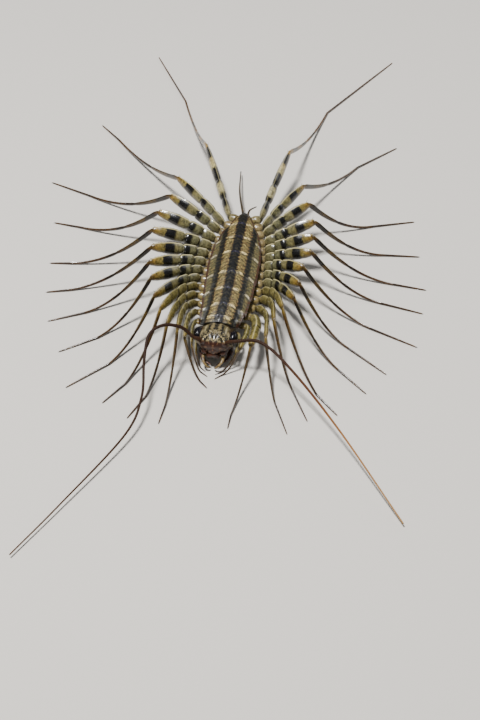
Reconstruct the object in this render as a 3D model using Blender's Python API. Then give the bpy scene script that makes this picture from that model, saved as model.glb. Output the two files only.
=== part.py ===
"""House centipede at life size, standing still with its thirty legs spread.

The animal faces -Y with its tail towards +Y, its own left side is at +X, and its feet
rest on the plane z = 0. Lengths below are in millimetres and angles in degrees. Each
piece is built in these units and scaled to metres at the end.
"""
import math
from dataclasses import dataclass

import bmesh
import bpy
from mathutils import Matrix, Vector

METRES_PER_MM = 0.001
GAP = 0.3
PLATE_INSET = 0.2
CORE_INSET = 0.26
UP = Vector((0.0, 0.0, 1.0))

# Trunk: seven back plates over a soft core that carries the legs
TRUNK_FRONT = -18.6
PLATE_REAR = (-13.3, -7.7, -1.9, 5.4, 11.4, 17.0, 22.0)
PLATE_HALF_WIDTH = 6.15
PLATE_WIDEST_AT = 5.0
PLATE_TAPER_REAR = 18.5
PLATE_TAPER_FRONT = 40.0
PLATE_THICKNESS = 0.45
PLATE_LIFT = 0.95
PLATE_OVERHANG = 0.5
PLATE_SAG = 1.75
PLATE_CHEVRON = 2.0
CHEVRON_START = 6.0
CHEVRON_END = 24.0
CHEVRON_FADE = 4.0
PLATE_KEEL = 0.22
PLATE_RIM = 0.16
PLATE_GRID = (10, 4)

CORE_HALF_WIDTH = 4.92
CORE_WIDEST_AT = 3.0
CORE_TAPER_REAR = 24.5
CORE_TAPER_FRONT = 44.0
CORE_END = 23.8
CORE_SIDES = 20
CROWN_HEIGHT = 8.6
CROWN_AT = 2.0
RUMP_START = 20.5
RUMP_DROP = 0.16
BELLY_HEIGHT = 2.8
SOCKET_HEIGHT = 4.7
FRONT_SOCKET_DROP = 0.3

# The front of the body bends a little to the animal's right
BEND_START = -6.0
BEND = 0.0053

# Head
HEAD_X = -0.85
HEAD_YAW = -3.0
HEAD_Y = -22.2
HEAD_Z = 5.75
HEAD_RADII = (4.5, 3.9, 2.85)
HEAD_REAR = TRUNK_FRONT - GAP
EYE_OFFSET = (3.95, 0.1, 0.75)
EYE_RADII = (1.15, 1.75, 1.45)
EYE_ROLL = 22.0
CLYPEUS_OFFSET = (0.0, -2.55, -0.9)
CLYPEUS_RADII = (2.3, 1.5, 1.5)
LABRUM_OFFSET = (0.0, -3.3, -2.0)
LABRUM_RADII = (1.45, 0.85, 0.8)
CHEEK_OFFSET = (2.1, -1.7, -1.75)
CHEEK_RADII = (1.35, 2.0, 1.25)
NECK_BLOCK = 12.0
HEAD_BALL = (24, 14)
EYE_BALL = (20, 12)
SMALL_BALL = (12, 8)

# Feelers
ANTENNA_SOCKET = (2.75, -2.55, 1.35)
BROW_RADII = (1.0, 0.9, 0.85)
FEELER_LEAN = (0.75, -0.35, 0.56)
FEELER_STAND = 0.45
FEELER_SEAT_RADIUS = 1.3
FEELER_SEAT_DEPTH = 3.0
FEELER_TIP_RADIUS = 0.25
FEELER_TAPER = 0.27
FEELER_TAPER_POWER = 1.6
FEELER_SIDES = 8
LEFT_BENDS = ((10.1, -26.7, 9.7), (18.0, -32.9, 7.6), (30.4, -47.6, 4.2), (46.5, -71.0, 1.0))
RIGHT_BENDS = (
    (-8.4, -25.7, 11.4), (-12.3, -27.0, 12.6), (-15.0, -30.0, 11.9), (-15.3, -35.6, 8.8),
    (-14.7, -43.5, 5.2), (-17.0, -53.5, 2.6), (-27.5, -75.3, 1.4), (-35.4, -91.0, 1.0),
)
SCAPE_LENGTH = 1.6
FEELER_STEPS = 4
SEAT_STEP = 0.3

# Poison claws: sideways reach from the middle line, station and height of each bend
CLAW_ROOT = (2.2, TRUNK_FRONT - GAP, 3.65)
CLAW_BENDS = (
    (2.2, -19.5, 3.15), (2.6, -20.6, 2.4), (3.3, -22.0, 1.9), (2.6, -24.6, 1.4), (0.6, -26.4, 1.35),
)
CLAW_GIRTHS = (0.75, 0.85, 0.9, 0.95, 0.95, 0.9, 0.8, 0.65, 0.45, 0.28)
CLAW_FLATNESS = 0.6
CLAW_STEPS = 2

# Tail
TAIL_FRONT = CORE_END
TAIL_LENGTH = 1.6
TAIL_RADII = (1.3, 0.85)
TAIL_Z = 4.35
TAIL_SIDES = 12
STYLE_TIPS = ((-1, (-4.0, 46.0, 1.4)), (1, (1.9, 30.0, 3.4)))
STYLE_ROOT = (0.5, CORE_END + 0.6, TAIL_Z)
STYLE_SAG = (-0.6, 0.0, 0.4)
STYLE_RADII = (0.34, 0.20)
STYLE_STEPS = 3
STYLE_SIDES = 6

# Legs
LEG_COUNT = 15
LAST_LEG_Y = 23.0
LEG_SPACING = 2.95
THIGH_BOW = 0.5
BOW_EASE = 0.6
COXA_FILL = 0.41
SHIN_CROOK = 0.5
LEG_SIDES = 8
SEARCH_STEPS = 12
PROBE = 0.4
FLOOR_SNAP = 0.08


@dataclass(frozen=True)
class Stance:
    """How one leg stands: directions in degrees back from straight out, reaches in mm.

    The swell is what the thigh's breadth is multiplied by on this side.
    """

    thigh_turn: float
    thigh_reach: float
    shin_turn: float
    shin_reach: float
    toe_turn: float
    toe_reach: float
    swell: float = 1.0


@dataclass(frozen=True)
class LegPair:
    """A pair of legs.

    Girth and breadth are set against a middle leg's, and breadth is the thigh's alone. The
    coxa is the hip's reach, and the bow is how far the thigh swings out between its ends.
    """

    knee_height: float
    girth: float
    breadth: float
    coxa: float
    bow: float
    right: Stance
    left: Stance


LEG_PAIRS = {
    1: LegPair(
        3.7, 0.5, 1.0, 0.6, 0.25,
        Stance(-95, 7.15, -139, 2.1, -139, 1.2), Stance(-90, 6.3, -140, 4.5, -150, 0.9),
    ),
    2: LegPair(
        6.0, 0.6, 0.9, 1.25, 0.6,
        Stance(-91, 10.05, -134, 3.6, -143, 2.0), Stance(-92, 9.9, -143, 5.0, -135, 1.7, 1.75),
    ),
    3: LegPair(
        7.5, 0.8, 1.1, 1.4, 1.3,
        Stance(-84, 12.7, -126, 7.6, -133, 2.5), Stance(-83, 13.2, -99, 15.9, -92, 4.2, 1.75),
    ),
    4: LegPair(
        9.5, 0.9, 1.0, 1.75, 1.75,
        Stance(-80, 15.2, -88, 15.9, -84, 5.7), Stance(-74, 15.4, -73, 12.2, -68, 10.4),
    ),
    5: LegPair(
        10.0, 0.98, 0.98, 2.05, 1.8,
        Stance(-74, 17.4, -79, 14.6, -68, 8.1), Stance(-68, 13.3, -65, 14.1, -65, 10.2),
    ),
    6: LegPair(
        10.4, 1.0, 1.0, 2.2, 1.45,
        Stance(-66, 16.6, -69, 16.5, -59, 7.9), Stance(-61, 12.9, -60, 20.0, -49, 7.9),
    ),
    7: LegPair(
        10.2, 1.0, 1.2, 2.2, 1.1,
        Stance(-57, 16.3, -58, 16.3, -47, 12.1), Stance(-51, 13.5, -46, 16.9, -45, 9.8),
    ),
    8: LegPair(
        10.2, 1.0, 1.45, 2.1, 0.6,
        Stance(-44, 14.9, -46, 15.9, -36, 9.8), Stance(-41, 12.3, -38, 15.9, -39, 12.1),
    ),
    9: LegPair(
        10.2, 1.0, 1.65, 2.0, 0.4,
        Stance(-33, 14.5, -31, 16.7, -26, 8.8), Stance(-28, 11.0, -26, 18.6, -24, 12.3),
    ),
    10: LegPair(
        10.5, 1.0, 1.75, 2.0, 0.2,
        Stance(-24, 13.9, -18, 20.5, -14, 4.9), Stance(-14, 11.6, -14, 17.6, -13, 10.2),
    ),
    11: LegPair(
        10.8, 1.0, 1.75, 2.0, 0.0,
        Stance(-11, 14.0, -7, 20.0, -5, 4.8), Stance(-2, 11.4, -7, 19.7, -7, 7.8),
    ),
    12: LegPair(
        10.5, 1.0, 1.75, 2.0, 0.0,
        Stance(6, 14.1, 12, 19.9, 9, 7.3), Stance(13, 11.8, 7, 17.2, 4, 8.1),
    ),
    13: LegPair(
        10.5, 1.0, 1.5, 2.0, 0.0,
        Stance(21, 13.7, 25, 23.9, 22, 11.3), Stance(31, 11.8, 22, 16.3, 18, 10.3),
    ),
    14: LegPair(
        8.5, 1.0, 1.1, 1.9, 0.0,
        Stance(42, 17.7, 52, 30.5, 47, 7.9), Stance(56, 15.2, 60, 22.9, 46, 13.0),
    ),
    15: LegPair(
        9.5, 1.0, 1.0, 1.6, 0.0,
        Stance(68, 23.5, 72, 31.6, 62, 21.1), Stance(78, 22.1, 78, 30.6, 59, 28.5),
    ),
}

# Where the rings of a leg lie: place along its part, half thickness, half depth
COXA_RINGS = ((0.0, 0.80, 0.95), (0.6, 1.0, 1.10))
THIGH_RINGS = (
    (0.06, 0.66, 1.20), (0.24, 0.74, 1.60), (0.42, 0.68, 1.50),
    (0.48, 0.63, 1.36), (0.66, 0.70, 1.52), (0.86, 0.58, 1.26), (0.98, 0.42, 0.82),
)
SHIN_RINGS = (
    (0.10, 0.38, 0.58), (0.35, 0.40, 0.56), (0.58, 0.34, 0.44), (0.80, 0.30, 0.36), (1.0, 0.28, 0.30),
)
TOE_RINGS = ((0.5, 0.25, 0.25), (1.0, 0.18, 0.18))

# Colours are linear values: base colour, roughness
SHELL_OLIVE = ((0.27, 0.22, 0.09), 0.35)
SHELL_DARK = ((0.02, 0.015, 0.01), 0.30)
HEAD_BROWN = ((0.16, 0.11, 0.04), 0.35)
EYE_VIOLET = ((0.012, 0.007, 0.02), 0.15)
LEG_OLIVE = ((0.22, 0.18, 0.08), 0.35)
WHIP_BROWN = ((0.22, 0.10, 0.03), 0.45)
JAW_RUST = ((0.15, 0.05, 0.02), 0.35)


def clear_scene() -> None:
    """Remove every object of the open scene."""
    for scene_object in list(bpy.data.objects):
        bpy.data.objects.remove(scene_object, do_unlink=True)


def spine_x(y: float) -> float:
    """Give the sideways place of the body's middle line at a station."""
    return 0.0 if y > BEND_START else -BEND * (y - BEND_START) ** 2


def plate_half_width(y: float) -> float:
    """Give the half width of the back plates at a station."""
    reach = PLATE_TAPER_REAR if y > PLATE_WIDEST_AT else PLATE_TAPER_FRONT
    part = min(0.98, abs(y - PLATE_WIDEST_AT) / reach)
    return PLATE_HALF_WIDTH * (1.0 - part ** 2) ** 0.7


def core_half_width(y: float) -> float:
    """Give the half width of the soft core at a station."""
    reach = CORE_TAPER_REAR if y > CORE_WIDEST_AT else CORE_TAPER_FRONT
    return CORE_HALF_WIDTH * (1.0 - ((y - CORE_WIDEST_AT) / reach) ** 2) ** 0.8


def crown_height(y: float) -> float:
    """Give the height of the back's middle line, without the lift of a plate's rear edge."""
    drop = 1.6 * ((y - CROWN_AT) / 22.0) ** 2 if y > CROWN_AT else 0.5 * ((y - CROWN_AT) / 21.0) ** 2
    return CROWN_HEIGHT - drop - RUMP_DROP * max(0.0, y - RUMP_START) ** 2


def belly_height(y: float) -> float:
    """Give the height of the underside's middle line."""
    return BELLY_HEIGHT + 0.6 * ((y - CROWN_AT) / 22.0) ** 2


def back_surface(x: float, y: float, lift: float) -> float:
    """Give the height of a back plate's outer face.

    Args:
        x: distance from the middle line.
        y: station along the body.
        lift: how far the plate stands up here, from its front edge to its rear edge.
    """
    across = min(1.0, abs(x) / plate_half_width(y))
    keel = PLATE_KEEL * math.exp(-((x / 0.9) ** 2))
    rim = PLATE_RIM * max(0.0, (across - 0.85) / 0.15)
    sag = PLATE_SAG * plate_half_width(y) / PLATE_HALF_WIDTH
    return crown_height(y) + lift + keel + rim - sag * across ** 2


def chevron(x: float, y: float) -> float:
    """Give how far forward a station's sides are drawn, so that plate edges arch."""
    front_ease = min(1.0, max(0.0, (y - TRUNK_FRONT) / CHEVRON_START))
    rear_ease = min(1.0, max(0.0, (CHEVRON_END - y) / CHEVRON_FADE))
    across = min(1.0, abs(x) / plate_half_width(y))
    return PLATE_CHEVRON * front_ease * rear_ease * across ** 2


def curve_back(x: float, y: float) -> Vector:
    """Place a station's point in the level plane, drawn forward and bent with the spine."""
    return Vector((x + spine_x(y), y - chevron(x, y), 0.0))


def flank(station: float, side: int) -> Vector:
    """Give the place of the core's side face at a station, level with the sockets."""
    place = curve_back(side * core_half_width(station), station)
    place.z = SOCKET_HEIGHT
    return place


def add_object(name: str, bm: bmesh.types.BMesh, finish: tuple) -> bpy.types.Object:
    """Turn a bmesh into a named object of the scene with its own material.

    Args:
        name: the piece's name.
        bm: its shape in millimetres; it is freed here.
        finish: base colour and roughness.

    Returns:
        The new object.
    """
    bmesh.ops.recalc_face_normals(bm, faces=bm.faces)
    if bm.calc_volume(signed=True) < 0.0:
        bmesh.ops.reverse_faces(bm, faces=bm.faces)
    mesh = bpy.data.meshes.new(name)
    bm.to_mesh(mesh)
    bm.free()
    mesh.shade_smooth()
    material = bpy.data.materials.new(name + "_shell")
    material.use_nodes = True
    shader = material.node_tree.nodes["Principled BSDF"]
    shader.inputs["Base Color"].default_value = (*finish[0], 1.0)
    shader.inputs["Roughness"].default_value = finish[1]
    shader.inputs["Metallic"].default_value = 0.0
    mesh.materials.append(material)
    piece = bpy.data.objects.new(name, mesh)
    bpy.context.scene.collection.objects.link(piece)
    return piece


def apply_modifier(piece: bpy.types.Object) -> None:
    """Keep the shape that a piece's modifiers give and drop the modifiers."""
    graph = bpy.context.evaluated_depsgraph_get()
    shaped = bpy.data.meshes.new_from_object(piece.evaluated_get(graph))
    piece.modifiers.clear()
    piece.data = shaped


def unite(pieces: list) -> bpy.types.Object:
    """Join closed pieces into the first one and keep its largest closed surface.

    Args:
        pieces: closed mesh objects that overlap; all but the first are removed.

    Returns:
        The first piece, with the joined shape.
    """
    base, others = pieces[0], pieces[1:]
    group = bpy.data.collections.new(base.name + "_pieces")
    for other in others:
        group.objects.link(other)
    union = base.modifiers.new("join", "BOOLEAN")
    union.operation = "UNION"
    union.solver = "EXACT"
    union.operand_type = "COLLECTION"
    union.collection = group
    apply_modifier(base)
    for other in others:
        bpy.data.objects.remove(other, do_unlink=True)
    bpy.data.collections.remove(group)
    keep_largest(base)
    return base


def cut(piece: bpy.types.Object, cutters: list) -> None:
    """Take closed cutter pieces away from a piece and remove the cutters."""
    group = bpy.data.collections.new(piece.name + "_cutters")
    for cutter in cutters:
        group.objects.link(cutter)
    difference = piece.modifiers.new("cut", "BOOLEAN")
    difference.operation = "DIFFERENCE"
    difference.solver = "EXACT"
    difference.operand_type = "COLLECTION"
    difference.collection = group
    apply_modifier(piece)
    for cutter in cutters:
        bpy.data.objects.remove(cutter, do_unlink=True)
    bpy.data.collections.remove(group)
    keep_largest(piece)


def keep_largest(piece: bpy.types.Object) -> None:
    """Delete every closed surface of a piece but its largest."""
    bm = bmesh.new()
    bm.from_mesh(piece.data)
    unseen = set(bm.verts)
    islands = []
    while unseen:
        front = [unseen.pop()]
        island = set(front)
        while front:
            vert = front.pop()
            for edge in vert.link_edges:
                other = edge.other_vert(vert)
                if other in unseen:
                    unseen.discard(other)
                    island.add(other)
                    front.append(other)
        islands.append(island)
    islands.sort(key=lambda island: box_diagonal(island), reverse=True)
    for island in islands[1:]:
        bmesh.ops.delete(bm, geom=list(island), context="VERTS")
    bm.to_mesh(piece.data)
    bm.free()


def box_diagonal(verts: set) -> float:
    """Give the diagonal of the box round some vertices."""
    lows = [min(v.co[axis] for v in verts) for axis in range(3)]
    highs = [max(v.co[axis] for v in verts) for axis in range(3)]
    return math.dist(lows, highs)


def ring_matrix(centre: Vector, along: Vector, half_thick: float, half_depth: float) -> Matrix:
    """Place a unit circle as one ring of a limb.

    Args:
        centre: middle of the ring.
        along: direction of the limb there.
        half_thick: half size across the limb, level.
        half_depth: half size in the upright plane of the limb.

    Returns:
        The matrix that carries the unit circle to its place.
    """
    forward = along.normalized()
    side = forward.cross(UP).normalized()
    top = side.cross(forward)
    return Matrix((
        (side.x * half_thick, top.x * half_depth, forward.x, centre.x),
        (side.y * half_thick, top.y * half_depth, forward.y, centre.y),
        (side.z * half_thick, top.z * half_depth, forward.z, centre.z),
        (0.0, 0.0, 0.0, 1.0),
    ))


def limb(rings: list, sides: int) -> bmesh.types.BMesh:
    """Build a closed limb through a run of rings with a flat side below.

    Args:
        rings: centre, half thickness and half depth of each ring, from root to tip.
        sides: number of sides, even.

    Returns:
        The limb as a bmesh.
    """
    flat = 1.0 / math.cos(math.pi / sides)
    turn = Matrix.Rotation(math.pi / sides, 4, "Z") @ Matrix.Scale(flat, 4)
    places = []
    for index, (centre, half_thick, half_depth) in enumerate(rings):
        before = rings[max(0, index - 1)][0]
        after = rings[min(len(rings) - 1, index + 1)][0]
        places.append(ring_matrix(centre, after - before, half_thick, half_depth) @ turn)
    bm = bmesh.new()
    bmesh.ops.create_circle(bm, cap_ends=True, radius=1.0, segments=sides, matrix=places[0])
    loop = list(bm.edges)
    for last, place in zip(places, places[1:]):
        grown = bmesh.ops.extrude_edge_only(bm, edges=loop)["geom"]
        verts = [item for item in grown if isinstance(item, bmesh.types.BMVert)]
        loop = [edge for edge in grown if isinstance(edge, bmesh.types.BMEdge)]
        bmesh.ops.transform(bm, matrix=place @ last.inverted(), verts=verts)
    bmesh.ops.contextual_create(bm, geom=loop)
    return bm


def smooth_route(points: list, steps: int) -> list:
    """Run a smooth curve through a few points.

    Args:
        points: the places that the curve passes through.
        steps: number of steps between two of them.

    Returns:
        Points along the curve, first and last included.
    """
    ends = [points[0] * 2 - points[1], *points, points[-1] * 2 - points[-2]]
    route = []
    for a, b, c, d in zip(ends, ends[1:], ends[2:], ends[3:]):
        for step in range(steps):
            t = step / steps
            bend = (2 * a - 5 * b + 4 * c - d) * t ** 2 + (3 * b - a - 3 * c + d) * t ** 3
            route.append(0.5 * (2 * b + (c - a) * t + bend))
    route.append(points[-1])
    return route


def ball(name: str, centre: Vector, radii: tuple, finish: tuple, turn: Matrix = Matrix(), detail=(16, 10)):
    """Make an ellipsoid as an object.

    Args:
        name: the object's name.
        centre: its middle.
        radii: its three half sizes.
        finish: base colour and roughness.
        turn: rotation about its middle.
        detail: segments round and rings from pole to pole.
    """
    bm = bmesh.new()
    matrix = Matrix.Translation(centre) @ turn @ Matrix.Diagonal((*radii, 1.0))
    bmesh.ops.create_uvsphere(bm, u_segments=detail[0], v_segments=detail[1], radius=1.0, matrix=matrix)
    return add_object(name, bm, finish)


def build_plate(index: int, front: float, rear: float) -> bpy.types.Object:
    """Build one back plate, tilted so that its rear edge stands over the next plate.

    Args:
        index: number of the plate from the head.
        front: station of the segment's front.
        rear: station of the segment's rear.
    """
    bm = bmesh.new()
    bmesh.ops.create_grid(bm, x_segments=PLATE_GRID[0], y_segments=PLATE_GRID[1], size=1.0)
    lower = bmesh.ops.extrude_face_region(bm, geom=list(bm.faces))["geom"]
    below = {item for item in lower if isinstance(item, bmesh.types.BMVert)}
    start = front + PLATE_INSET
    end = rear + PLATE_OVERHANG
    for vert in bm.verts:
        share = (vert.co.y + 1.0) / 2.0
        y = start + share * (end - start)
        x = vert.co.x * plate_half_width(y)
        height = back_surface(x, y, PLATE_LIFT * (share - 0.5))
        place = curve_back(x, y)
        place.z = height - (PLATE_THICKNESS if vert in below else 0.0)
        vert.co = place
    return add_object(f"plate_{index + 1}", bm, SHELL_OLIVE)


def build_core(index: int, front: float, rear: float) -> bpy.types.Object:
    """Build the soft core of one trunk length, from belly to the underside of its plate."""
    bm = bmesh.new()
    bmesh.ops.create_circle(bm, cap_ends=True, radius=1.0, segments=CORE_SIDES)
    loop = list(bm.edges)
    for _ in range(2):
        grown = bmesh.ops.extrude_edge_only(bm, edges=loop)["geom"]
        loop = [edge for edge in grown if isinstance(edge, bmesh.types.BMEdge)]
        verts = [item for item in grown if isinstance(item, bmesh.types.BMVert)]
        bmesh.ops.translate(bm, verts=verts, vec=(0.0, 0.0, 0.5))
    bmesh.ops.contextual_create(bm, geom=loop)
    caps = [face for face in bm.faces if len(face.verts) == CORE_SIDES]
    bmesh.ops.poke(bm, faces=caps)
    for vert in bm.verts:
        share = vert.co.z
        y = front + CORE_INSET + share * (rear - front - 2 * CORE_INSET)
        round_x, round_z = vert.co.x, vert.co.y
        x = math.copysign(abs(round_x) ** 0.7, round_x) * core_half_width(y)
        if round_z > 0.0:
            top = back_surface(x, y, PLATE_LIFT * (share - 0.5)) - 0.6 * PLATE_THICKNESS
            height = SOCKET_HEIGHT + (top - SOCKET_HEIGHT) * round_z ** 0.35
        else:
            height = SOCKET_HEIGHT - (SOCKET_HEIGHT - belly_height(y)) * abs(round_z) ** 0.6
        place = curve_back(x, y)
        place.z = height
        vert.co = place
    return add_object(f"trunk_{index + 1}", bm, SHELL_OLIVE)


def build_trunk() -> None:
    """Build the seven trunk lengths, each a core with its raised plate."""
    fronts = (TRUNK_FRONT, *PLATE_REAR[:-1])
    core_rears = (*PLATE_REAR[:-1], CORE_END)
    for index, (front, rear, core_rear) in enumerate(zip(fronts, PLATE_REAR, core_rears)):
        unite([build_core(index, front, core_rear), build_plate(index, front, rear)])


def build_tail() -> None:
    """Build the tail end with its two dark styles."""
    rear = TAIL_FRONT + TAIL_LENGTH
    rings = [
        (Vector((0.0, TAIL_FRONT, TAIL_Z)), *TAIL_RADII),
        (Vector((0.0, TAIL_FRONT + 0.5 * TAIL_LENGTH, TAIL_Z)), 0.9 * TAIL_RADII[0], 0.9 * TAIL_RADII[1]),
        (Vector((0.0, rear, TAIL_Z - 0.1)), 0.35 * TAIL_RADII[0], 0.4 * TAIL_RADII[1]),
    ]
    tail = add_object("tail", limb(rings, TAIL_SIDES), SHELL_DARK)
    styles = []
    thick, thin = STYLE_RADII
    for side, tip in STYLE_TIPS:
        root = Vector((side * STYLE_ROOT[0], STYLE_ROOT[1], STYLE_ROOT[2]))
        middle = root.lerp(Vector(tip), 0.5) + Vector(STYLE_SAG)
        route = smooth_route([root, middle, Vector(tip)], STYLE_STEPS)
        radii = [thick + (thin - thick) * step / (len(route) - 1) for step in range(len(route))]
        rings = [(point, radius, radius) for point, radius in zip(route, radii)]
        styles.append(add_object(f"style_{side}", limb(rings, STYLE_SIDES), SHELL_DARK))
    unite([tail, *styles])


def head_place(offset: tuple, side: int = 1) -> Vector:
    """Carry a place given from the head's middle into the body's frame."""
    turn = Matrix.Rotation(math.radians(HEAD_YAW), 4, "Z")
    local = Vector((side * offset[0], offset[1], offset[2]))
    return Vector((HEAD_X, HEAD_Y, HEAD_Z)) + turn @ local


def build_head() -> None:
    """Build the head capsule with its face, and cut its neck, eye and feeler seats."""
    turn = Matrix.Rotation(math.radians(HEAD_YAW), 4, "Z")
    head = ball("head", head_place((0, 0, 0)), HEAD_RADII, HEAD_BROWN, turn, HEAD_BALL)
    parts = [
        ball("clypeus", head_place(CLYPEUS_OFFSET), CLYPEUS_RADII, HEAD_BROWN, turn),
        ball("labrum", head_place(LABRUM_OFFSET), LABRUM_RADII, HEAD_BROWN, turn, SMALL_BALL),
    ]
    for side in (-1, 1):
        parts.append(ball("cheek", head_place(CHEEK_OFFSET, side), CHEEK_RADII, HEAD_BROWN, turn))
        brow = head_place(ANTENNA_SOCKET, side)
        parts.append(ball("brow", brow, BROW_RADII, HEAD_BROWN, turn, SMALL_BALL))
    unite([head, *parts])
    block = bmesh.new()
    behind = Matrix.Translation((HEAD_X, HEAD_REAR + NECK_BLOCK / 2.0, HEAD_Z))
    bmesh.ops.create_cube(block, size=NECK_BLOCK, matrix=behind)
    cutters = [add_object("neck_cut", block, HEAD_BROWN)]
    seat = tuple(radius + GAP for radius in EYE_RADII)
    for side in (-1, 1):
        centre = head_place(EYE_OFFSET, side)
        cutters.append(ball("eye_seat", centre, seat, HEAD_BROWN, eye_turn(side), EYE_BALL))
        cutters.append(feeler_seat(side))
    cut(head, cutters)


def eye_turn(side: int) -> Matrix:
    """Give the turn of an eye, which leans outwards."""
    yaw = Matrix.Rotation(math.radians(HEAD_YAW), 4, "Z")
    return yaw @ Matrix.Rotation(math.radians(side * EYE_ROLL), 4, "Y")


def feeler_direction(side: int) -> Vector:
    """Give the direction in which a feeler leaves the head."""
    return Vector((side * FEELER_LEAN[0], FEELER_LEAN[1], FEELER_LEAN[2])).normalized()


def feeler_start(side: int) -> Vector:
    """Give the middle of the face on which a feeler stands."""
    return head_place(ANTENNA_SOCKET, side) + feeler_direction(side) * FEELER_STAND


def feeler_seat(side: int) -> bpy.types.Object:
    """Make the cutter that flattens the brow below a feeler."""
    start = feeler_start(side)
    end = start + feeler_direction(side) * FEELER_SEAT_DEPTH
    rings = [(point, FEELER_SEAT_RADIUS, FEELER_SEAT_RADIUS) for point in (start, end)]
    return add_object("feeler_seat", limb(rings, 12), HEAD_BROWN)


def build_eyes() -> None:
    """Build the two large oval eyes, each in its seat."""
    for side, name in ((-1, "eye_right"), (1, "eye_left")):
        ball(name, head_place(EYE_OFFSET, side), EYE_RADII, EYE_VIOLET, eye_turn(side), EYE_BALL)


def feeler_route(side: int) -> list:
    """Give the points that a feeler passes through, from its scape's end to its tip."""
    scape_end = feeler_start(side) + feeler_direction(side) * (GAP + SCAPE_LENGTH)
    bends = LEFT_BENDS if side > 0 else RIGHT_BENDS
    return smooth_route([scape_end, *(Vector(bend) for bend in bends)], FEELER_STEPS)


def build_antennae() -> None:
    """Build each long feeler as an arched base and a whip that tapers to its tip."""
    for side, name in ((-1, "right"), (1, "left")):
        root = feeler_start(side) + feeler_direction(side) * GAP
        route = [root, root + feeler_direction(side) * SEAT_STEP, *feeler_route(side)]
        shares = [step / (len(route) - 1) for step in range(len(route))]
        radii = [FEELER_TIP_RADIUS + FEELER_TAPER * (1.0 - part) ** FEELER_TAPER_POWER for part in shares]
        rings = [(point, radius, radius) for point, radius in zip(route, radii)]
        bend = FEELER_STEPS + 2
        middle, girth = route[bend], radii[bend]
        along = (route[bend + 1] - route[bend - 1]).normalized()
        base = [(middle + along * place, girth, girth) for place in (-SEAT_STEP, 0.0)]
        whip = [(middle + along * place, girth, girth) for place in (GAP, GAP + SEAT_STEP)]
        add_object(f"antenna_{name}_base", limb(rings[:bend] + base, FEELER_SIDES), WHIP_BROWN)
        add_object(f"antenna_{name}_whip", limb(whip + rings[bend + 1:], FEELER_SIDES), WHIP_BROWN)


def build_mouthparts() -> None:
    """Build the two poison claws, which reach forward below the head and cross their tips."""
    for side, name in ((-1, "right"), (1, "left")):
        middle = spine_x(TRUNK_FRONT)
        root, *knots = [Vector((middle + side * x, y, z)) for x, y, z in (CLAW_ROOT, *CLAW_BENDS)]
        route = [root, *smooth_route(knots, CLAW_STEPS)]
        rings = [(point, girth, CLAW_FLATNESS * girth) for point, girth in zip(route, CLAW_GIRTHS)]
        add_object(f"forcipule_{name}", limb(rings, 8), JAW_RUST)


def leg_name(number: int, side: int) -> str:
    """Name a leg by its side and its number from the head."""
    return f"leg_{'left' if side > 0 else 'right'}_{number:02d}"


def leg_socket(number: int, side: int) -> tuple:
    """Find where a leg stands on the trunk.

    Args:
        number: leg pair from the head, 1 to 15.
        side: 1 for the animal's left (+X), -1 for its right.

    Returns:
        The middle of the leg's root face, and the level direction in which it leaves.
    """
    root = LAST_LEG_Y - LEG_SPACING * (LEG_COUNT - number)
    station = root
    for _ in range(SEARCH_STEPS):
        station += root - flank(station, side).y
    along = flank(station + PROBE, side) - flank(station - PROBE, side)
    outward = Vector((along.y, -along.x, 0.0)).normalized() * side
    socket = flank(station, side) + outward * GAP
    socket.z -= FRONT_SOCKET_DROP * max(0, 3 - number)
    return socket, outward


def leg_route(number: int, side: int) -> list:
    """Work out the rings of one leg.

    Args:
        number: leg pair from the head, 1 to 15.
        side: 1 for the animal's left (+X), -1 for its right.

    Returns:
        Centre, half thickness and half depth of each ring, from the coxa to the tip.
    """
    pair = LEG_PAIRS[number]
    stance = pair.left if side > 0 else pair.right
    socket, outward = leg_socket(number, side)
    hip = socket + outward * pair.coxa
    knee = hip + heading(stance.thigh_turn, side) * stance.thigh_reach
    knee.z = pair.knee_height
    touch = knee + heading(stance.shin_turn, side) * stance.shin_reach
    touch.z = SHIN_RINGS[-1][2] * pair.girth
    crook = touch.lerp(knee, 1.0 - SHIN_CROOK)
    crook.z = touch.z
    toe = touch + heading(stance.toe_turn, side) * stance.toe_reach
    toe.z = TOE_RINGS[-1][2] * pair.girth
    rings = []
    fill = COXA_FILL * LEG_SPACING * abs(outward.x) * (1.0 + pair.girth) / 2.0
    for share, thick, depth in COXA_RINGS:
        rings.append((socket.lerp(hip, share), thick * fill, depth * pair.girth))
    aside = heading(stance.thigh_turn + 90.0, side)
    for share, thick, depth in THIGH_RINGS:
        rise = UP * THIGH_BOW * pair.girth * math.sin(math.pi * share)
        bulge = aside * pair.bow * math.sin(math.pi * share ** BOW_EASE)
        broad = thick * pair.girth * pair.breadth * stance.swell
        rings.append((hip.lerp(knee, share) + rise + bulge, broad, depth * pair.girth))
    for share, thick, depth in SHIN_RINGS:
        centre = knee.lerp(crook, share).lerp(crook.lerp(touch, share), share)
        rings.append((centre, thick * pair.girth, depth * pair.girth))
    for share, thick, depth in TOE_RINGS:
        rings.append((touch.lerp(toe, share), thick * pair.girth, depth * pair.girth))
    return rings


def heading(turn: float, side: int) -> Vector:
    """Give the level direction at an angle back from straight out."""
    angle = math.radians(turn)
    return Vector((side * math.cos(angle), math.sin(angle), 0.0))


def build_legs() -> None:
    """Build all thirty legs, each with its foot lying flat on the floor."""
    for number in LEG_PAIRS:
        for side in (-1, 1):
            bm = limb(leg_route(number, side), LEG_SIDES)
            for vert in bm.verts:
                if vert.co.z < FLOOR_SNAP:
                    vert.co.z = 0.0
            add_object(leg_name(number, side), bm, LEG_OLIVE)


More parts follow.
